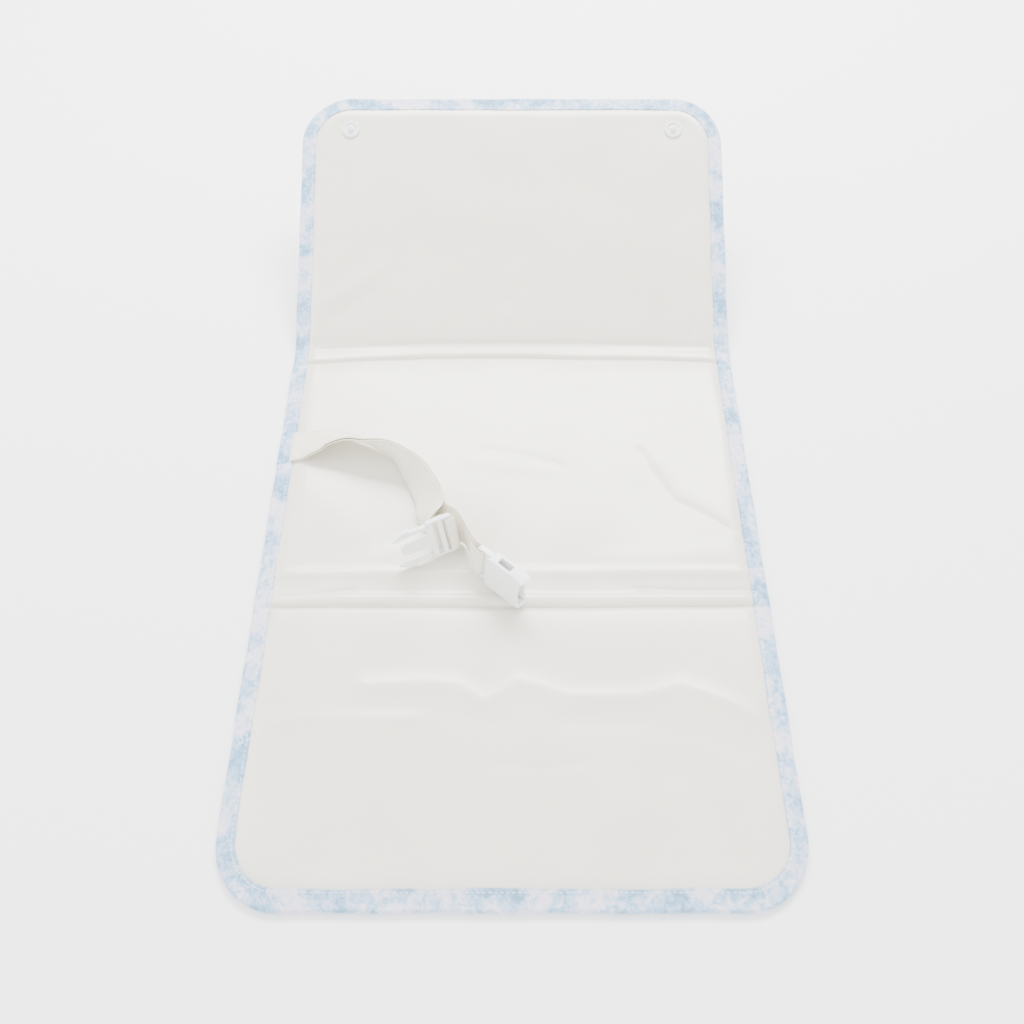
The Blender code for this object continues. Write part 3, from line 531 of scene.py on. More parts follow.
def printed_cotton(tree):
    """Cotton poplin cut on the bias, with a soft brushed two-tone print.

    Loose blue dabs gather in patches on a pale ground; the cloth itself is matt.
    """
    shades = colours()
    cloth = woven(tree, shades.print_ground, 0.9 * MM, 0.05 * MM)
    place = node(tree, "ShaderNodeUVMap", uv_map="flat").outputs[0]
    patches = node(tree, "ShaderNodeTexNoise", {"Vector": place, "Scale": 38.0, "Detail": 1.5,
                   "Roughness": 0.5, "Distortion": 0.4})
    dabs = node(tree, "ShaderNodeTexNoise", {"Vector": place, "Scale": 210.0, "Detail": 3.0,
                "Roughness": 0.7, "Distortion": 0.7})
    patch = node(tree, "ShaderNodeMapRange", {"Value": patches.outputs["Fac"], "From Min": 0.38,
                 "From Max": 0.64, "To Min": -0.13, "To Max": 0.33})
    dab = node(tree, "ShaderNodeMapRange", {"Value": dabs.outputs["Fac"], "From Min": 0.3,
               "From Max": 0.7, "To Min": 0.12, "To Max": 0.72})
    ink = node(tree, "ShaderNodeMath", {0: patch.outputs[0], 1: dab.outputs[0]}, operation="ADD")
    ground, blue = shades.print_ground, shades.print_blue
    pale = [0.5 * a + 0.5 * b for a, b in zip(ground, blue)]
    inked = node(tree, "ShaderNodeValToRGB", {"Fac": ink.outputs[0]},
                 ((0.30, ground), (0.46, pale), (0.66, blue), (0.86, shade(blue, 0.7))))
    # The weave's tone, with its painted shade between the yarns, darkens the print. Sockets 0, 6
    # and 7 are the factor and two colours.
    printed = node(tree, "ShaderNodeMix", {0: 0.35, 6: inked.outputs["Color"],
                   7: cloth["Base Color"]}, data_type="RGBA", blend_type="MULTIPLY")
    return {**cloth, "Base Color": printed.outputs[2], "Roughness": 0.82, "Sheen Weight": 0.15}


def moulded(tree, tint, rough, grain):
    """Injection-moulded plastic: waxy, with the faint grain of its mould.

    Handling polishes its edges, so the roughness wanders a little.
    """
    place = node(tree, "ShaderNodeTexCoord").outputs["Object"]
    cloudy = node(tree, "ShaderNodeTexNoise", {"Vector": place, "Scale": 110.0, "Detail": 3.0})
    cloud = cloudy.outputs["Fac"]
    tone = node(tree, "ShaderNodeValToRGB", {"Fac": cloud},
                ((0.3, shade(tint, 0.97)), (0.75, shade(tint, 1.01))))
    polish = node(tree, "ShaderNodeMapRange", {"Value": cloud, "To Min": rough - 0.06,
                  "To Max": rough + 0.08})
    skin = node(tree, "ShaderNodeTexNoise", {"Vector": place, "Scale": 1 / grain, "Detail": 2.0})
    bump = node(tree, "ShaderNodeBump", {"Height": skin.outputs["Fac"], "Strength": 0.6,
                "Distance": 0.03 * MM})
    return {"Base Color": tone.outputs["Color"], "Roughness": polish.outputs[0],
            "Normal": bump.outputs[0], "IOR": 1.48, "Coat Weight": 0.05}


def moulded_acetal(tree):
    """Moulded acetal: slick and waxy, so the buckle's edges catch a soft light."""
    return moulded(tree, colours().buckle, 0.36, 0.8 * MM)


def moulded_nylon(tree):
    """Moulded nylon: a little glossier than acetal, and harder looking."""
    return moulded(tree, colours().stud, 0.33, 0.7 * MM)


def spun_thread(tree):
    """Spun polyester thread: dull, with a fine uneven twist."""
    return moulded(tree, colours().thread, 0.6, 0.4 * MM)


def tan_thread(tree):
    """The same thread in tan, which draws the edges of the strap."""
    return moulded(tree, colours().strap_thread, 0.6, 0.4 * MM)


def paper_floor(tree):
    """Seamless studio paper: flat and matt, so that it only takes soft shadows."""
    return {"Base Color": rgba(colours().floor), "Roughness": 0.9}


FINISHES = {
    "polyurethane_laminated_satin": laminated_satin,
    "woven_polyester_back": polyester_back,
    "polyester_webbing": polyester_webbing,
    "printed_cotton_binding": printed_cotton,
    "moulded_acetal": moulded_acetal,
    "moulded_nylon_stud": moulded_nylon,
    "spun_polyester_thread": spun_thread,
    "tan_polyester_thread": tan_thread,
    "matt_paper_floor": paper_floor,
}


def finish(name):
    """The material of this name, made the first time it is asked for.

    It has one Principled shader, whose inputs the finish's own function works out.
    """
    material = bpy.data.materials.get(name)
    if material is None:
        material = bpy.data.materials.new(name)
        material.use_nodes = True
        tree = material.node_tree
        tree.nodes.clear()
        shader = node(tree, "ShaderNodeBsdfPrincipled", FINISHES[name](tree))
        node(tree, "ShaderNodeOutputMaterial", {"Surface": shader.outputs[0]})
    return material


# ---- pieces ----------------------------------------------------------


def make_panels():
    """The laminated face over its foam: one closed form for each half of the pad."""
    hidden = {
        1: ("face_head", "foam_head", "seam_upper_face", "face_middle", "foam_middle"),
        -1: ("face_foot", "foam_foot", "seam_lower_face"),
    }
    for half, name in ((1, "padded_panels_upper"), (-1, "padded_panels_lower")):
        x, along = panel_grid(half, PANEL_COLUMNS)
        over, under = face_height(x, along), under_height(x, along) + 0.03 * MM
        piece = add_layer(name, x, along, over, under, "polyurethane_laminated_satin")
        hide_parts(*hidden[half])
        bend_with_fold(piece)


def make_backing():
    """The woven back cloth, one sheet for each half."""
    hidden = {
        1: ("back_head", "back_middle", "seam_upper_back"),
        -1: ("back_foot", "seam_lower_back"),
    }
    for half, name in ((1, "back_cloth_upper"), (-1, "back_cloth_lower")):
        x, along = (places[::2] for places in panel_grid(half, BACK_COLUMNS))
        over = under_height(x, along)
        piece = add_layer(name, x, along, over, over - BACK_CLOTH, "woven_polyester_back")
        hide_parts(*hidden[half])
        bend_with_fold(piece)


def edge_length(half):
    """Lengths of one half's side, corner and end along the outline."""
    radius = sizes().corner_radius
    end = HEAD_END if half > 0 else -FOOT_END
    return end - radius - half * MID_SPLIT, math.pi / 2 * radius, 2 * (HALF_WIDTH - radius)


def edge_at(travel, half):
    """Outline places and inward directions at distances along one half's edge.

    The edge runs up the right side, round a quarter circle, across the end, round the next
    quarter circle and down the left side; the left is the mirror of the right.
    """
    radius = sizes().corner_radius
    side, arc, across = edge_length(half)
    total = 2 * side + 2 * arc + across
    mirrored = travel > total / 2
    t = np.where(mirrored, total - travel, travel)
    angle = np.clip((t - side) / radius, 0, math.pi / 2)
    straight = np.clip(t, 0, side)
    over = np.clip(t - side - arc, 0, across)
    x = HALF_WIDTH - radius + radius * np.cos(angle) - over
    along = half * MID_SPLIT + straight + radius * np.sin(angle)
    flip = np.where(mirrored, -1.0, 1.0)
    place = np.stack([x * flip, along * half], -1)
    inward = np.stack([-np.cos(angle) * flip, -np.sin(angle) * half], -1)
    return place, inward


def edge_steps(half):
    """Distances along the edge: close together in the corners and at the fold."""
    side, arc, across = edge_length(half)
    fold = (UPPER_FOLD.y if half > 0 else -LOWER_FOLD.y) - half * MID_SPLIT
    first = np.concatenate([
        np.linspace(0, fold - 20 * MM, 34, endpoint=False),
        np.linspace(fold - 20 * MM, fold + 18 * MM, 40, endpoint=False),
        np.linspace(fold + 18 * MM, side, 62, endpoint=False),
        np.linspace(side, side + arc, 30, endpoint=False),
        np.linspace(side + arc, side + arc + across / 2, 58),
    ])
    return np.concatenate([first, (2 * side + 2 * arc + across - first[:-1])[::-1]])


def pucker(travel, inside):
    """Small gathers of the binding, strongest at its sewn edge.

    A sine whose phase wanders with two slower sines, and a longer one, both times a smooth step.
    """
    wander = np.sin(travel / (31 * MM)) + np.sin(travel / (13 * MM) + 1.0)
    wave = np.sin(math.tau * travel / (7.5 * MM) + 1.6 * wander)
    slow = np.sin(math.tau * travel / (43 * MM) + wander)
    return (0.16 * wave + 0.12 * slow) * MM * ramp(inside, 2 * MM, 11 * MM)


def tape_layer(travel, half, cloth):
    """One side of the binding: over the face, round a half-ellipse nose, and back underneath.

    Its distance in from the outline falls to the nose, follows a cosine round it, and grows again.
    """
    width = sizes().binding_width
    place, inward = edge_at(travel, half)
    top = np.linspace(width, TAPE_NOSE, 9, endpoint=False)
    turn = np.linspace(math.pi / 2, -math.pi / 2, 9)
    under = np.linspace(TAPE_NOSE, width, 6)[1:]
    round_nose = TAPE_NOSE - (TAPE_NOSE - TAPE_FLOOR + cloth) * np.cos(turn)
    inside = np.concatenate([top, round_nose, under])
    level = np.concatenate([np.ones(9), np.sin(turn) * 0.5 + 0.5, np.zeros(5)])
    wave = 0.25 * MM * np.sin(travel / (23 * MM)) + 0.2 * MM * np.sin(travel / (9 * MM))
    wobble = 0.22 * MM * np.sin(travel / (11 * MM) + 0.7) + 0.25 * MM
    inside = inside[None, :] + wave[:, None] * ramp(inside, 5 * MM, 11 * MM)[None, :]
    inside = inside + wobble[:, None] * (1 - ramp(inside, 1 * MM, 5 * MM))
    spot = place[:, None, :] + inward[:, None, :] * inside[..., None]
    face = face_height(spot[..., 0], spot[..., 1]) + TAPE_LIFT
    over = face + cloth + pucker(travel[:, None], inside) * level[None, :]
    low = TAPE_FLOOR - cloth
    height = low + (over - low) * level[None, :]
    return np.stack([spot[..., 0], spot[..., 1], height], -1)


def make_binding():
    """Printed binding folded over the edge: a closed U-shaped tape for each half."""
    hidden = {
        1: ("binding_head", "binding_middle_left", "binding_middle_right"),
        -1: ("binding_foot",),
    }
    for half, name in ((1, "binding_upper"), (-1, "binding_lower")):
        travel = edge_steps(half)
        outer = tape_layer(travel, half, sizes().binding_cloth)
        inner = tape_layer(travel, half, 0.05 * MM)  # just off the face that it covers
        faces, rim = shell_faces(*outer.shape[:2])
        step = np.linalg.norm(np.diff(outer, axis=1), axis=2).mean(0)
        across = np.concatenate([[0], np.cumsum(step)])
        uv = np.stack(np.meshgrid(travel, across, indexing="ij"), -1).reshape(-1, 2)
        uv = uv + (0.0 if half > 0 else 1.7)  # another place in the print
        points = np.vstack([bend(outer).reshape(-1, 3), bend(inner).reshape(-1, 3)])
        print_uv = np.vstack([uv, uv])
        piece = add_piece(name, points, faces, "printed_cotton_binding", print_uv, rim)
        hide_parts(*hidden[half])
        bend_with_fold(piece)


def stitch_points(centres, directions, ups, stitch):
    """Stitches: six-sided rods, one round each centre, for a stitch's length and radius.

    At u from -1 to 1 along a rod, its radius is r (1 - u^4)^0.5 and its axis sinks by 1.2 r u^2.
    """
    reach, radius = stitch
    place = np.linspace(-1, 1, RING_COUNT)
    swell = np.sqrt(np.maximum(1 - place**4, 0.04)) * radius
    bow = -(place**2) * radius * 1.2
    angle = np.linspace(0, math.tau, RING_SIDES, endpoint=False)
    sides = np.cross(directions, ups)
    ring = (
        np.cos(angle)[None, :, None] * sides[:, None, None, :]
        + np.sin(angle)[None, :, None] * ups[:, None, None, :]
    )
    ring = ring.reshape(len(centres), 1, RING_SIDES, 3) * swell[None, :, None, None]
    spine = centres[:, None, :] + directions[:, None, :] * (place * reach / 2)[None, :, None]
    spine = spine + ups[:, None, :] * bow[None, :, None]
    return spine[:, :, None, :] + ring


def stitch_mesh(name, rods, finish_name):
    """One mesh of many stitches with closed ends."""
    one, points = tube_faces(RING_COUNT, RING_SIDES), RING_COUNT * RING_SIDES
    faces = [[v + points * k for v in face] for k in range(len(rods)) for face in one]
    piece = add_piece(name, rods.reshape(-1, 3), faces, finish_name)
    recalculate_outside(piece)
    return piece


def make_edge_stitching():
    """Lockstitch along the binding, on the face and on the back.

    Each stitch points along the edge, by the difference of two bent places near it.
    """
    size = sizes()
    for half, name in ((1, "edge_stitching_upper"), (-1, "edge_stitching_lower")):
        side, arc, across = edge_length(half)
        total = 2 * (side + arc) + across
        travel = np.arange(size.stitch_pitch / 2, total, size.stitch_pitch)
        inside = size.binding_width - SEAM_INSET
        place, inward = edge_at(travel, half)
        spot = place + inward * inside
        level = face_height(spot[:, 0], spot[:, 1]) + TAPE_LIFT + size.binding_cloth
        level = level + pucker(travel, np.full_like(travel, inside)) + 0.06 * MM
        along = np.stack([-inward[:, 1], inward[:, 0]], -1)
        rows = []
        for height, up in ((level, 1.0), (np.full_like(level, -0.02 * MM), -1.0)):
            centre = bend(np.column_stack([spot, height]))
            ahead = bend(np.column_stack([spot + along * 0.1 * MM, height]))
            above = bend(np.column_stack([spot, height + 0.1 * MM]))
            direction = (ahead - centre) / np.linalg.norm(ahead - centre, axis=1)[:, None]
            rise = up * (above - centre) / np.linalg.norm(above - centre, axis=1)[:, None]
            rows.append(stitch_points(centre, direction, rise, EDGE_STITCH))
        rods = np.concatenate(rows)
        rods[..., 2] = np.maximum(rods[..., 2], -0.2 * MM)  # the floor flattens those beneath
        piece = stitch_mesh(name, rods, "spun_polyester_thread")
        bend_with_fold(piece)


def turned(profile, steps=48):
    """A profile of (radius, height) in millimetres carried round the upright axis."""
    rows = np.array(profile, float) * MM
    angle = np.linspace(0, math.tau, steps, endpoint=False)
    ring = np.stack([np.cos(angle), np.sin(angle)], -1)
    plan = rows[:, None, 0, None] * ring[None, :, :]
    height = np.repeat(rows[:, 1][:, None], steps, axis=1)
    return np.concatenate([plan, height[..., None]], -1)


def rounded(profile):
    """A profile smoothed by cutting its corners twice, with its ends kept."""
    rows = np.array(profile, float)
    for _ in range(2):
        near, far = 0.75 * rows[:-1] + 0.25 * rows[1:], 0.25 * rows[:-1] + 0.75 * rows[1:]
        between = np.stack([near, far], 1).reshape(-1, 2)
        rows = np.vstack([rows[:1], between[1:-1], rows[-1:]])
    return rows


def add_turned(name, profile, x, along, replaced, body):
    """A turned piece standing at a flat place, bent to rest with the pad."""
    points = turned(rounded(profile)) + np.array([x, along, 0.0])
    piece = add_piece(name, bend(points), tube_faces(*points.shape[:2]), "moulded_nylon_stud")
    recalculate_outside(piece)
    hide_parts(*replaced)
    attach(piece, body)


def make_studs():
    """Press studs in the head corners with their caps behind, and their sockets in the foot."""
    face = PANEL_HEIGHT / MM
    radius = sizes().stud_radius / MM
    stud = [
        (0.0, face + 3.0), (1.7, face + 3.0), (2.4, face + 2.5), (1.9, face + 0.9),
        (2.6, face + 0.05), (4.6, face + 0.1), (5.1, face + 1.0), (6.3, face + 1.15),
        (radius, face + 0.7), (radius - 0.1, face - 0.9), (0.0, face - 0.9),
    ]
    cap = [(0.0, 0.0), (4.6, 0.0), (6.2, 0.35), (6.5, 0.7), (6.5, 1.3), (0.0, 1.3)]
    for side, word in ((-1, "left"), (1, "right")):
        place = (side * STUD_X, STUD_ALONG)
        add_turned(f"press_stud_{word}", stud, *place, [f"stud_{word}"], "head")
        add_turned(f"press_stud_cap_{word}", cap, *place, [f"stud_cap_{word}"], "head")
        low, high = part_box(f"snap_socket_{word}")
        at = ((low.x + high.x) / 2, (low.y + high.y) / 2)
        socket = [
            (0.0, 1.9), (2.4, 1.9), (2.6, 0.5), (3.2, 0.15), (5.0, 0.1), (6.0, 0.3),
            (6.2, 0.9), (6.2, 2.4), (0.0, 2.4),
        ]
        nodes = [f"snap_socket_{word}", f"socket_cap_{word}"]
        add_turned(f"stud_socket_{word}", socket, *at, nodes, "foot")


# ---- the strap -------------------------------------------------------
# It is laid out in millimetres, with along measured from the lower fold.


def local_axes(place, axis, widthways):
    """A buckle half's place and axes: along it, across it and out of its broad face."""
    along = np.array(axis, float) / np.linalg.norm(axis)
    across = np.array(widthways, float)
    across -= along * (across @ along)
    across /= np.linalg.norm(across)
    return np.array(place, float), np.stack([along, across, np.cross(along, across)])


# The strap bar of each buckle half.
PLUG = local_axes((-40.0, 39.8, 23.9), (-0.900, -0.435, 0.0), (-0.160, 0.345, 0.925))
SOCKET = local_axes((-20.8, 18.1, 23.8), (0.760, -0.650, 0.0), (0.090, 0.106, 0.990))
BAR_HALF_WIDTH, BAR_HALF_HEIGHT, LOOP_CLEARANCE = 1.6, 1.8, 0.8


def stations_at(half, local):
    """Strap stations from (along, out) places in a buckle half's own axes."""
    origin, axes = half
    local = np.array(local, float)
    places = origin + local[:, :1] * axes[0] + local[:, 1:] * axes[2]
    return np.hstack([places, np.repeat(axes[1][None], len(places), axis=0)])


def bar_loop(start, end, steps):
    """Places on a circle round the strap bar from one angle in degrees to another."""
    reach = math.hypot(BAR_HALF_WIDTH, BAR_HALF_HEIGHT) + LOOP_CLEARANCE
    angle = np.radians(np.linspace(start, end, steps + 1))
    return np.stack([reach * np.cos(angle), reach * np.sin(angle)], -1)


def with_shift(rows, shift):
    """Stations with a last column that says how much of the layer's offset they take."""
    rows = np.asarray(rows, float)
    shifts = np.broadcast_to(np.asarray(shift, float), len(rows))
    return np.hstack([rows, shifts[:, None]])


def shared_course():
    """The two layers' common course from the binding to where they part.

    Each row is a place and the direction across the strap. A strap that leans by s stands at
    rest + s x half its width + (1 - s^2)^0.5 x the thickness of the stack.
    """
    left, strap_y = -157.5, 120.6  # where it comes out of the binding
    rest, half, stack = 8.9, 12.5, 2.2
    root = [(left - 3, strap_y, 3.6, 0, -1, 0), (left + 0.4, strap_y, 8.2, 0, -1, 0),
            (left + 7.5, strap_y, 9.9, 0, -1, 0.06)]
    course = np.array([
        (16.5, 0.3, 0.0, -0.97, 0.24), (27.5, 1.9, -0.30, -0.85, 0.44),
        (43.5, -1.1, -0.305, -0.573, 0.763), (56.5, -6.1, -0.42, -0.30, 0.86),
        (73.5, -13.6, -0.083, 0.0, 0.996), (90.0, -31.1, 0.405, 0.315, 0.856),
        (99.5, -47.6, 0.62, 0.27, 0.73), (103.5, -62.1, 0.72, 0.20, 0.66),
    ])
    across = course[:, 2:] / np.linalg.norm(course[:, 2:], axis=1)[:, None]
    lean = across[:, 2]
    height = rest + half * lean + stack * np.sqrt(1 - lean**2)
    rows = np.column_stack([course[:, 0] + left, course[:, 1] + strap_y, height, across])
    return np.vstack([root, rows])


def smooth_course(rows, steps=12):
    """A Catmull-Rom curve through the stations: each span blends its four nearest."""
    padded = np.vstack([2 * rows[0] - rows[1], rows, 2 * rows[-1] - rows[-2]])
    a, b, c, d = (padded[k : len(padded) - 3 + k, None, :] for k in range(4))
    t = (np.arange(steps) / steps)[None, :, None]
    curve = b + 0.5 * t * (c - a) + t**2 * (a - 2.5 * b + 2 * c - 0.5 * d)
    curve = curve + t**3 * (1.5 * (b - c) + 0.5 * (d - a))
    return np.vstack([curve.reshape(-1, rows.shape[1]), rows[-1:]])


def ribbon(stations, offset):
    """Centres along a strap in metres, and its across, facing and forward directions."""
    rows = smooth_course(stations)
    centres = rows[:, :3].copy()
    across = rows[:, 3:6]
    forward = np.gradient(centres, axis=0)
    forward /= np.linalg.norm(forward, axis=1)[:, None]
    across = across - (across * forward).sum(1)[:, None] * forward
    across /= np.linalg.norm(across, axis=1)[:, None]
    facing = np.cross(forward, across)
    centres += facing * (offset * rows[:, 6])[:, None]
    centres[:, 1] += LOWER_FOLD.y / MM
    return centres * MM, across, facing, forward


def run_of(centres):
    """Distance along a line of points from its start."""
    return np.concatenate([[0], np.cumsum(np.linalg.norm(np.diff(centres, axis=0), axis=1))])


def rows_at(run, rows, distances):
    """Rows at given distances along, each column blended in a straight line."""
    return np.stack([np.interp(distances, run, rows[:, k]) for k in range(rows.shape[1])], -1)


def bend_at_root(piece):
    """Bakes a strap piece's transform into its mesh."""
    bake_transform(piece)


def strap_piece(name, stations, offset, replaced):
    """Webbing: a flat rounded section carried along its course.

    The section is w/2 |cos t|^0.6 across and h/2 |sin t|^0.35 up, each with its sign.
    """
    size = sizes()
    centres, across, facing, _ = ribbon(stations, offset)
    angle = np.linspace(0, math.tau, 28, endpoint=False)
    wide = np.sign(np.cos(angle)) * np.abs(np.cos(angle)) ** 0.6
    thick = np.sign(np.sin(angle)) * np.abs(np.sin(angle)) ** 0.35
    points = (
        centres[:, None]
        + across[:, None] * (wide * size.webbing_width / 2)[None, :, None]
        + facing[:, None] * (thick * size.webbing_thickness / 2)[None, :, None]
    )
    run = run_of(centres)
    uv = np.stack(np.meshgrid(run, wide * size.webbing_width / 2, indexing="ij"), -1)
    piece = add_piece(name, points, tube_faces(*points.shape[:2]), "polyester_webbing", uv)
    recalculate_outside(piece)
    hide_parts(*replaced)
    bend_at_root(piece)


def strap_courses():
    """Stations of the plug's layer and of the socket's layer.

    A row is a place, the direction across the strap and its share of the layer's offset.
    """
    shared = shared_course()
    behind = stations_at(PLUG, [(10.5, 7.0), (4.5, 5.6)])
    to_plug = [
        with_shift(shared[:-3], 1.0),
        with_shift(shared[-3:], (1.2, 1.8, 2.8)),
        with_shift(behind, (1.0, 0.4)),
        with_shift(stations_at(PLUG, bar_loop(75, 345, 9)), 0.0),
    ]
    passing = np.array([
        (-48.8, 52.0, 19.6, 0.62, 0.30, 0.72), (-40.6, 47.0, 20.8, 0.36, 0.32, 0.87),
        (-32.8, 40.6, 21.6, 0.06, 0.10, 0.99), (-28.2, 32.0, 22.4, 0.05, 0.08, 1.00),
    ])
    into = np.vstack([[(-6.0, -2.6)], bar_loop(-100, 100, 8), [(-5.0, 2.2), (-8.0, 1.0)]])
    to_socket = [
        with_shift(shared, 1.0),
        with_shift(passing, (1.0, 1.0, 1.0, 0.5)),
        with_shift(stations_at(SOCKET, into), 0.0),
    ]
    return np.vstack(to_plug), np.vstack(to_socket)


def layer_offset():
    """Half the distance between the strap's two layers, in millimetres."""
    return (sizes().webbing_thickness / MM + LAYER_GAP) / 2


def make_strap():
    """Two layers of webbing from the left edge, one to each half of the buckle."""
    layer = layer_offset()
    plug, socket = strap_courses()
    strap_piece("strap_to_plug", plug, layer, ["webbing_plug", "webbing_anchor"])
    strap_piece("strap_to_socket", socket, -layer, ["webbing_socket"])


def strap_stitches(frames, tacks):
    """Running stitch near both edges of a layer, and bar tacks at distances back from its end."""
    size = sizes()
    lift = size.webbing_thickness / 2 + 0.05 * MM
    seam = size.webbing_width / 2 - 1.7 * MM
    run = run_of(frames[0])
    rods = []
    distances = np.arange(9 * MM, run[-1] - 4 * MM, 3.4 * MM)
    middle, across, out, forward = (rows_at(run, rows, distances) for rows in frames)
    for edge in (-1, 1):
        for up in (-1, 1):
            place = middle + across * edge * seam + out * up * lift
            rods.append(stitch_points(place, forward, out * up, STRAP_STITCH))
    reach = np.linspace(-9.5 * MM, 9.5 * MM, 9)
    for back in tacks:
        at = np.full(len(reach), run[-1] - back)
        middle, across, out, _ = (rows_at(run, rows, at) for rows in frames)
        for up in (-1, 1):
            place = middle + across * reach[:, None] + out * up * lift
            rods.append(stitch_points(place, across, out * up, TACK_STITCH))
    return np.concatenate(rods)


def make_strap_stitching():
    """Stitching of both layers of the strap."""
    layer = layer_offset()
    plug, socket = strap_courses()
    for name, course, offset, tacks in (
        ("plug_strap_stitching", plug, layer, (34 * MM, 36.5 * MM)),
        ("socket_strap_stitching", socket, -layer, (13 * MM, 15.5 * MM)),
    ):
        rods = strap_stitches(ribbon(course, offset), tacks)
        piece = stitch_mesh(name, rods, "tan_polyester_thread")
        bend_at_root(piece)


def softened_copy(name, source, width, body):
    """A merged copy of a moulded CAD node, with its edges rounded as a mould leaves them."""
    mesh = frame["nodes"][source].data.copy()
    mesh.name = name
    piece = add_object(name, mesh)
    work = bmesh.new()
    work.from_mesh(mesh)
    bmesh.ops.remove_doubles(work, verts=work.verts, dist=1e-6)
    bmesh.ops.dissolve_limit(work, angle_limit=math.radians(1.0), verts=work.verts,
                             edges=work.edges)
    work.to_mesh(mesh)
    work.free()
    mesh.materials.clear()
    mesh.materials.append(finish("moulded_acetal"))
    rounding = piece.modifiers.new("moulded edges", "BEVEL")
    rounding.width = width
    rounding.segments = 3
    rounding.limit_method = "ANGLE"
    rounding.angle_limit = math.radians(32)
    rounding.harden_normals = True
    mesh.polygons.foreach_set("use_smooth", np.ones(len(mesh.polygons), bool))
    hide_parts(source)
    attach(piece, body)


def make_buckle():
    """The side-release buckle: plug frame, its two spring arms, and the socket."""
    softened_copy("buckle_plug", "plug_frame", 0.7 * MM, "strap")
    softened_copy("buckle_shell", "buckle_socket", 1.3 * MM, "strap")
    for word in ("left", "right"):
        softened_copy(f"buckle_arm_{word}", f"plug_arm_{word}", 0.6 * MM, f"plug_arm_{word}")


# ---- the stage -------------------------------------------------------


FLOOR_REACH, FLOOR_DROP = 4.0, 0.3 * MM
WORLD_STRENGTH = 2.3
# Each softbox: name, place, width and height, and power in watts. All face the origin.
SOFTBOXES = (
    ("softbox_over_head_end", (0.12, 0.98, 1.15), (1.3, 0.5), 70),
    ("softbox_left", (-1.1, 0.1, 0.9), (0.7, 1.1), 12),
    ("fill_from_foot_end", (0.5, -1.5, 0.7), (1.4, 0.8), 20),
)
CAMERA_PLACE, CAMERA_TILT, CAMERA_LENS = (0, -0.3985, 0.563), math.radians(32.5), 33.4


def make_floor():
    """A square of matt floor just under the pad."""
    mesh = bpy.data.meshes.new("floor")
    corners = [(x * FLOOR_REACH, y * FLOOR_REACH, -FLOOR_DROP)
               for x, y in ((-1, -1), (1, -1), (1, 1), (-1, 1))]
    mesh.from_pydata(corners, [], [(0, 1, 2, 3)])
    mesh.materials.append(finish("matt_paper_floor"))
    add_object("floor", mesh)


def make_stage():
    """Pale floor, soft light from over the head end, and the camera."""
    make_floor()
    scene = bpy.context.scene
    scene.world = bpy.data.worlds.new("studio")
    scene.world.use_nodes = True
    background = scene.world.node_tree.nodes["Background"]
    background.inputs["Color"].default_value = (1, 1, 1, 1)
    background.inputs["Strength"].default_value = WORLD_STRENGTH
    for name, place, (width, height), power in SOFTBOXES:
        light = bpy.data.lights.new(name, "AREA")
        light.shape = "RECTANGLE"
        light.size, light.size_y = width, height
        light.energy = power
        softbox = add_object(name, light)
        softbox.location = place
        softbox.rotation_euler = (-Vector(place)).to_track_quat("-Z", "Y").to_euler()
    camera = add_object("camera", bpy.data.cameras.new("camera"))
    camera.location = CAMERA_PLACE
    camera.rotation_euler = (CAMERA_TILT, 0, 0)
    camera.data.lens = CAMERA_LENS
    camera.data.sensor_width = 36
    scene.camera = camera


# ---- operators, panel and registration -------------------------------


class PAD_OT_stage(bpy.types.Operator):
    """Make the floor, the lights and the camera"""

    bl_idname = "pad.make_stage"
    bl_label = "Stage"

    def execute(self, context):
        make_stage()
        return {"FINISHED"}


class PAD_OT_panels(bpy.types.Operator):
    """Make the padded panels with their wipe-clean face"""

    bl_idname = "pad.make_panels"
    bl_label = "Padded panels"

    def execute(self, context):
        make_panels()
        return {"FINISHED"}


class PAD_OT_backing(bpy.types.Operator):
    """Make the back cloth"""

    bl_idname = "pad.make_backing"
    bl_label = "Back cloth"

    def execute(self, context):
        make_backing()
        return {"FINISHED"}


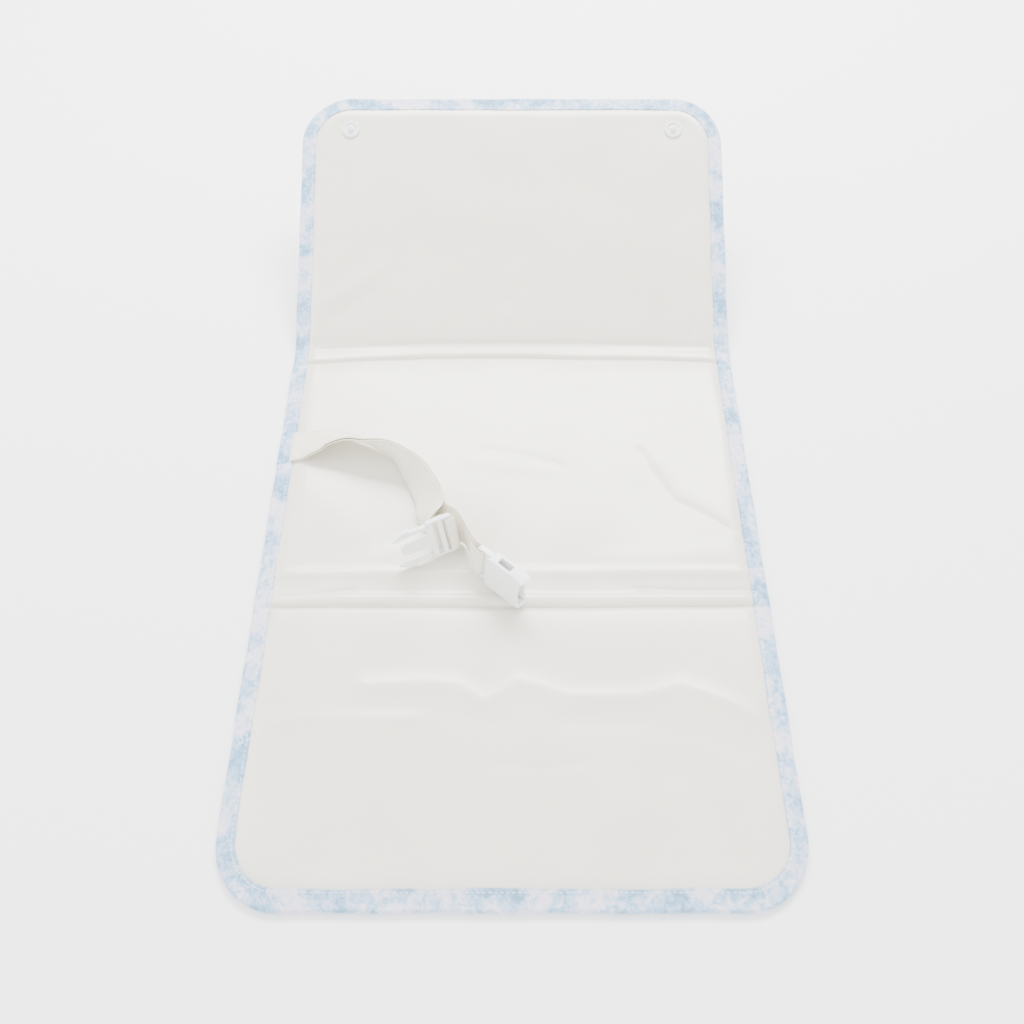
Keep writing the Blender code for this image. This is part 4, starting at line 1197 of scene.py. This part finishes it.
class PAD_OT_binding(bpy.types.Operator):
    """Make the printed binding and its stitching"""

    bl_idname = "pad.make_binding"
    bl_label = "Binding"

    def execute(self, context):
        make_binding()
        make_edge_stitching()
        return {"FINISHED"}


class PAD_OT_studs(bpy.types.Operator):
    """Make the press studs, their caps and their sockets"""

    bl_idname = "pad.make_studs"
    bl_label = "Press studs"

    def execute(self, context):
        make_studs()
        return {"FINISHED"}


class PAD_OT_strap(bpy.types.Operator):
    """Make the strap's two layers of webbing and their stitching"""

    bl_idname = "pad.make_strap"
    bl_label = "Strap"

    def execute(self, context):
        make_strap()
        make_strap_stitching()
        return {"FINISHED"}


class PAD_OT_buckle(bpy.types.Operator):
    """Make the two halves of the side-release buckle"""

    bl_idname = "pad.make_buckle"
    bl_label = "Buckle"

    def execute(self, context):
        make_buckle()
        return {"FINISHED"}


OPERATORS = (PAD_OT_stage, PAD_OT_panels, PAD_OT_backing, PAD_OT_binding, PAD_OT_studs,
             PAD_OT_strap, PAD_OT_buckle)


class PAD_PT_sidebar(bpy.types.Panel):
    """Lists the pad's pieces and their sizes and colours"""

    bl_idname = "PAD_PT_sidebar"
    bl_label = "Changing pad"
    bl_space_type = "VIEW_3D"
    bl_region_type = "UI"
    bl_category = "Changing pad"

    def draw(self, context):
        for operator in OPERATORS:
            self.layout.operator(operator.bl_idname)
        for group in (context.scene.pad_sizes, context.scene.pad_colours):
            for name in group.__annotations__:
                self.layout.prop(group, name)


CLASSES = (PadSizes, PadColours, *OPERATORS, PAD_PT_sidebar)


def register():
    """Adds the classes and the scene's two groups of values."""
    for cls in CLASSES:
        bpy.utils.register_class(cls)
    bpy.types.Scene.pad_sizes = bpy.props.PointerProperty(type=PadSizes)
    bpy.types.Scene.pad_colours = bpy.props.PointerProperty(type=PadColours)


def unregister():
    """Takes them away again."""
    del bpy.types.Scene.pad_sizes
    del bpy.types.Scene.pad_colours
    for cls in reversed(CLASSES):
        bpy.utils.unregister_class(cls)


def main():
    """Makes every piece in order."""
    register()
    for operator in OPERATORS:
        group, name = operator.bl_idname.split(".")
        getattr(getattr(bpy.ops, group), name)()


if __name__ == "__main__":
    main()
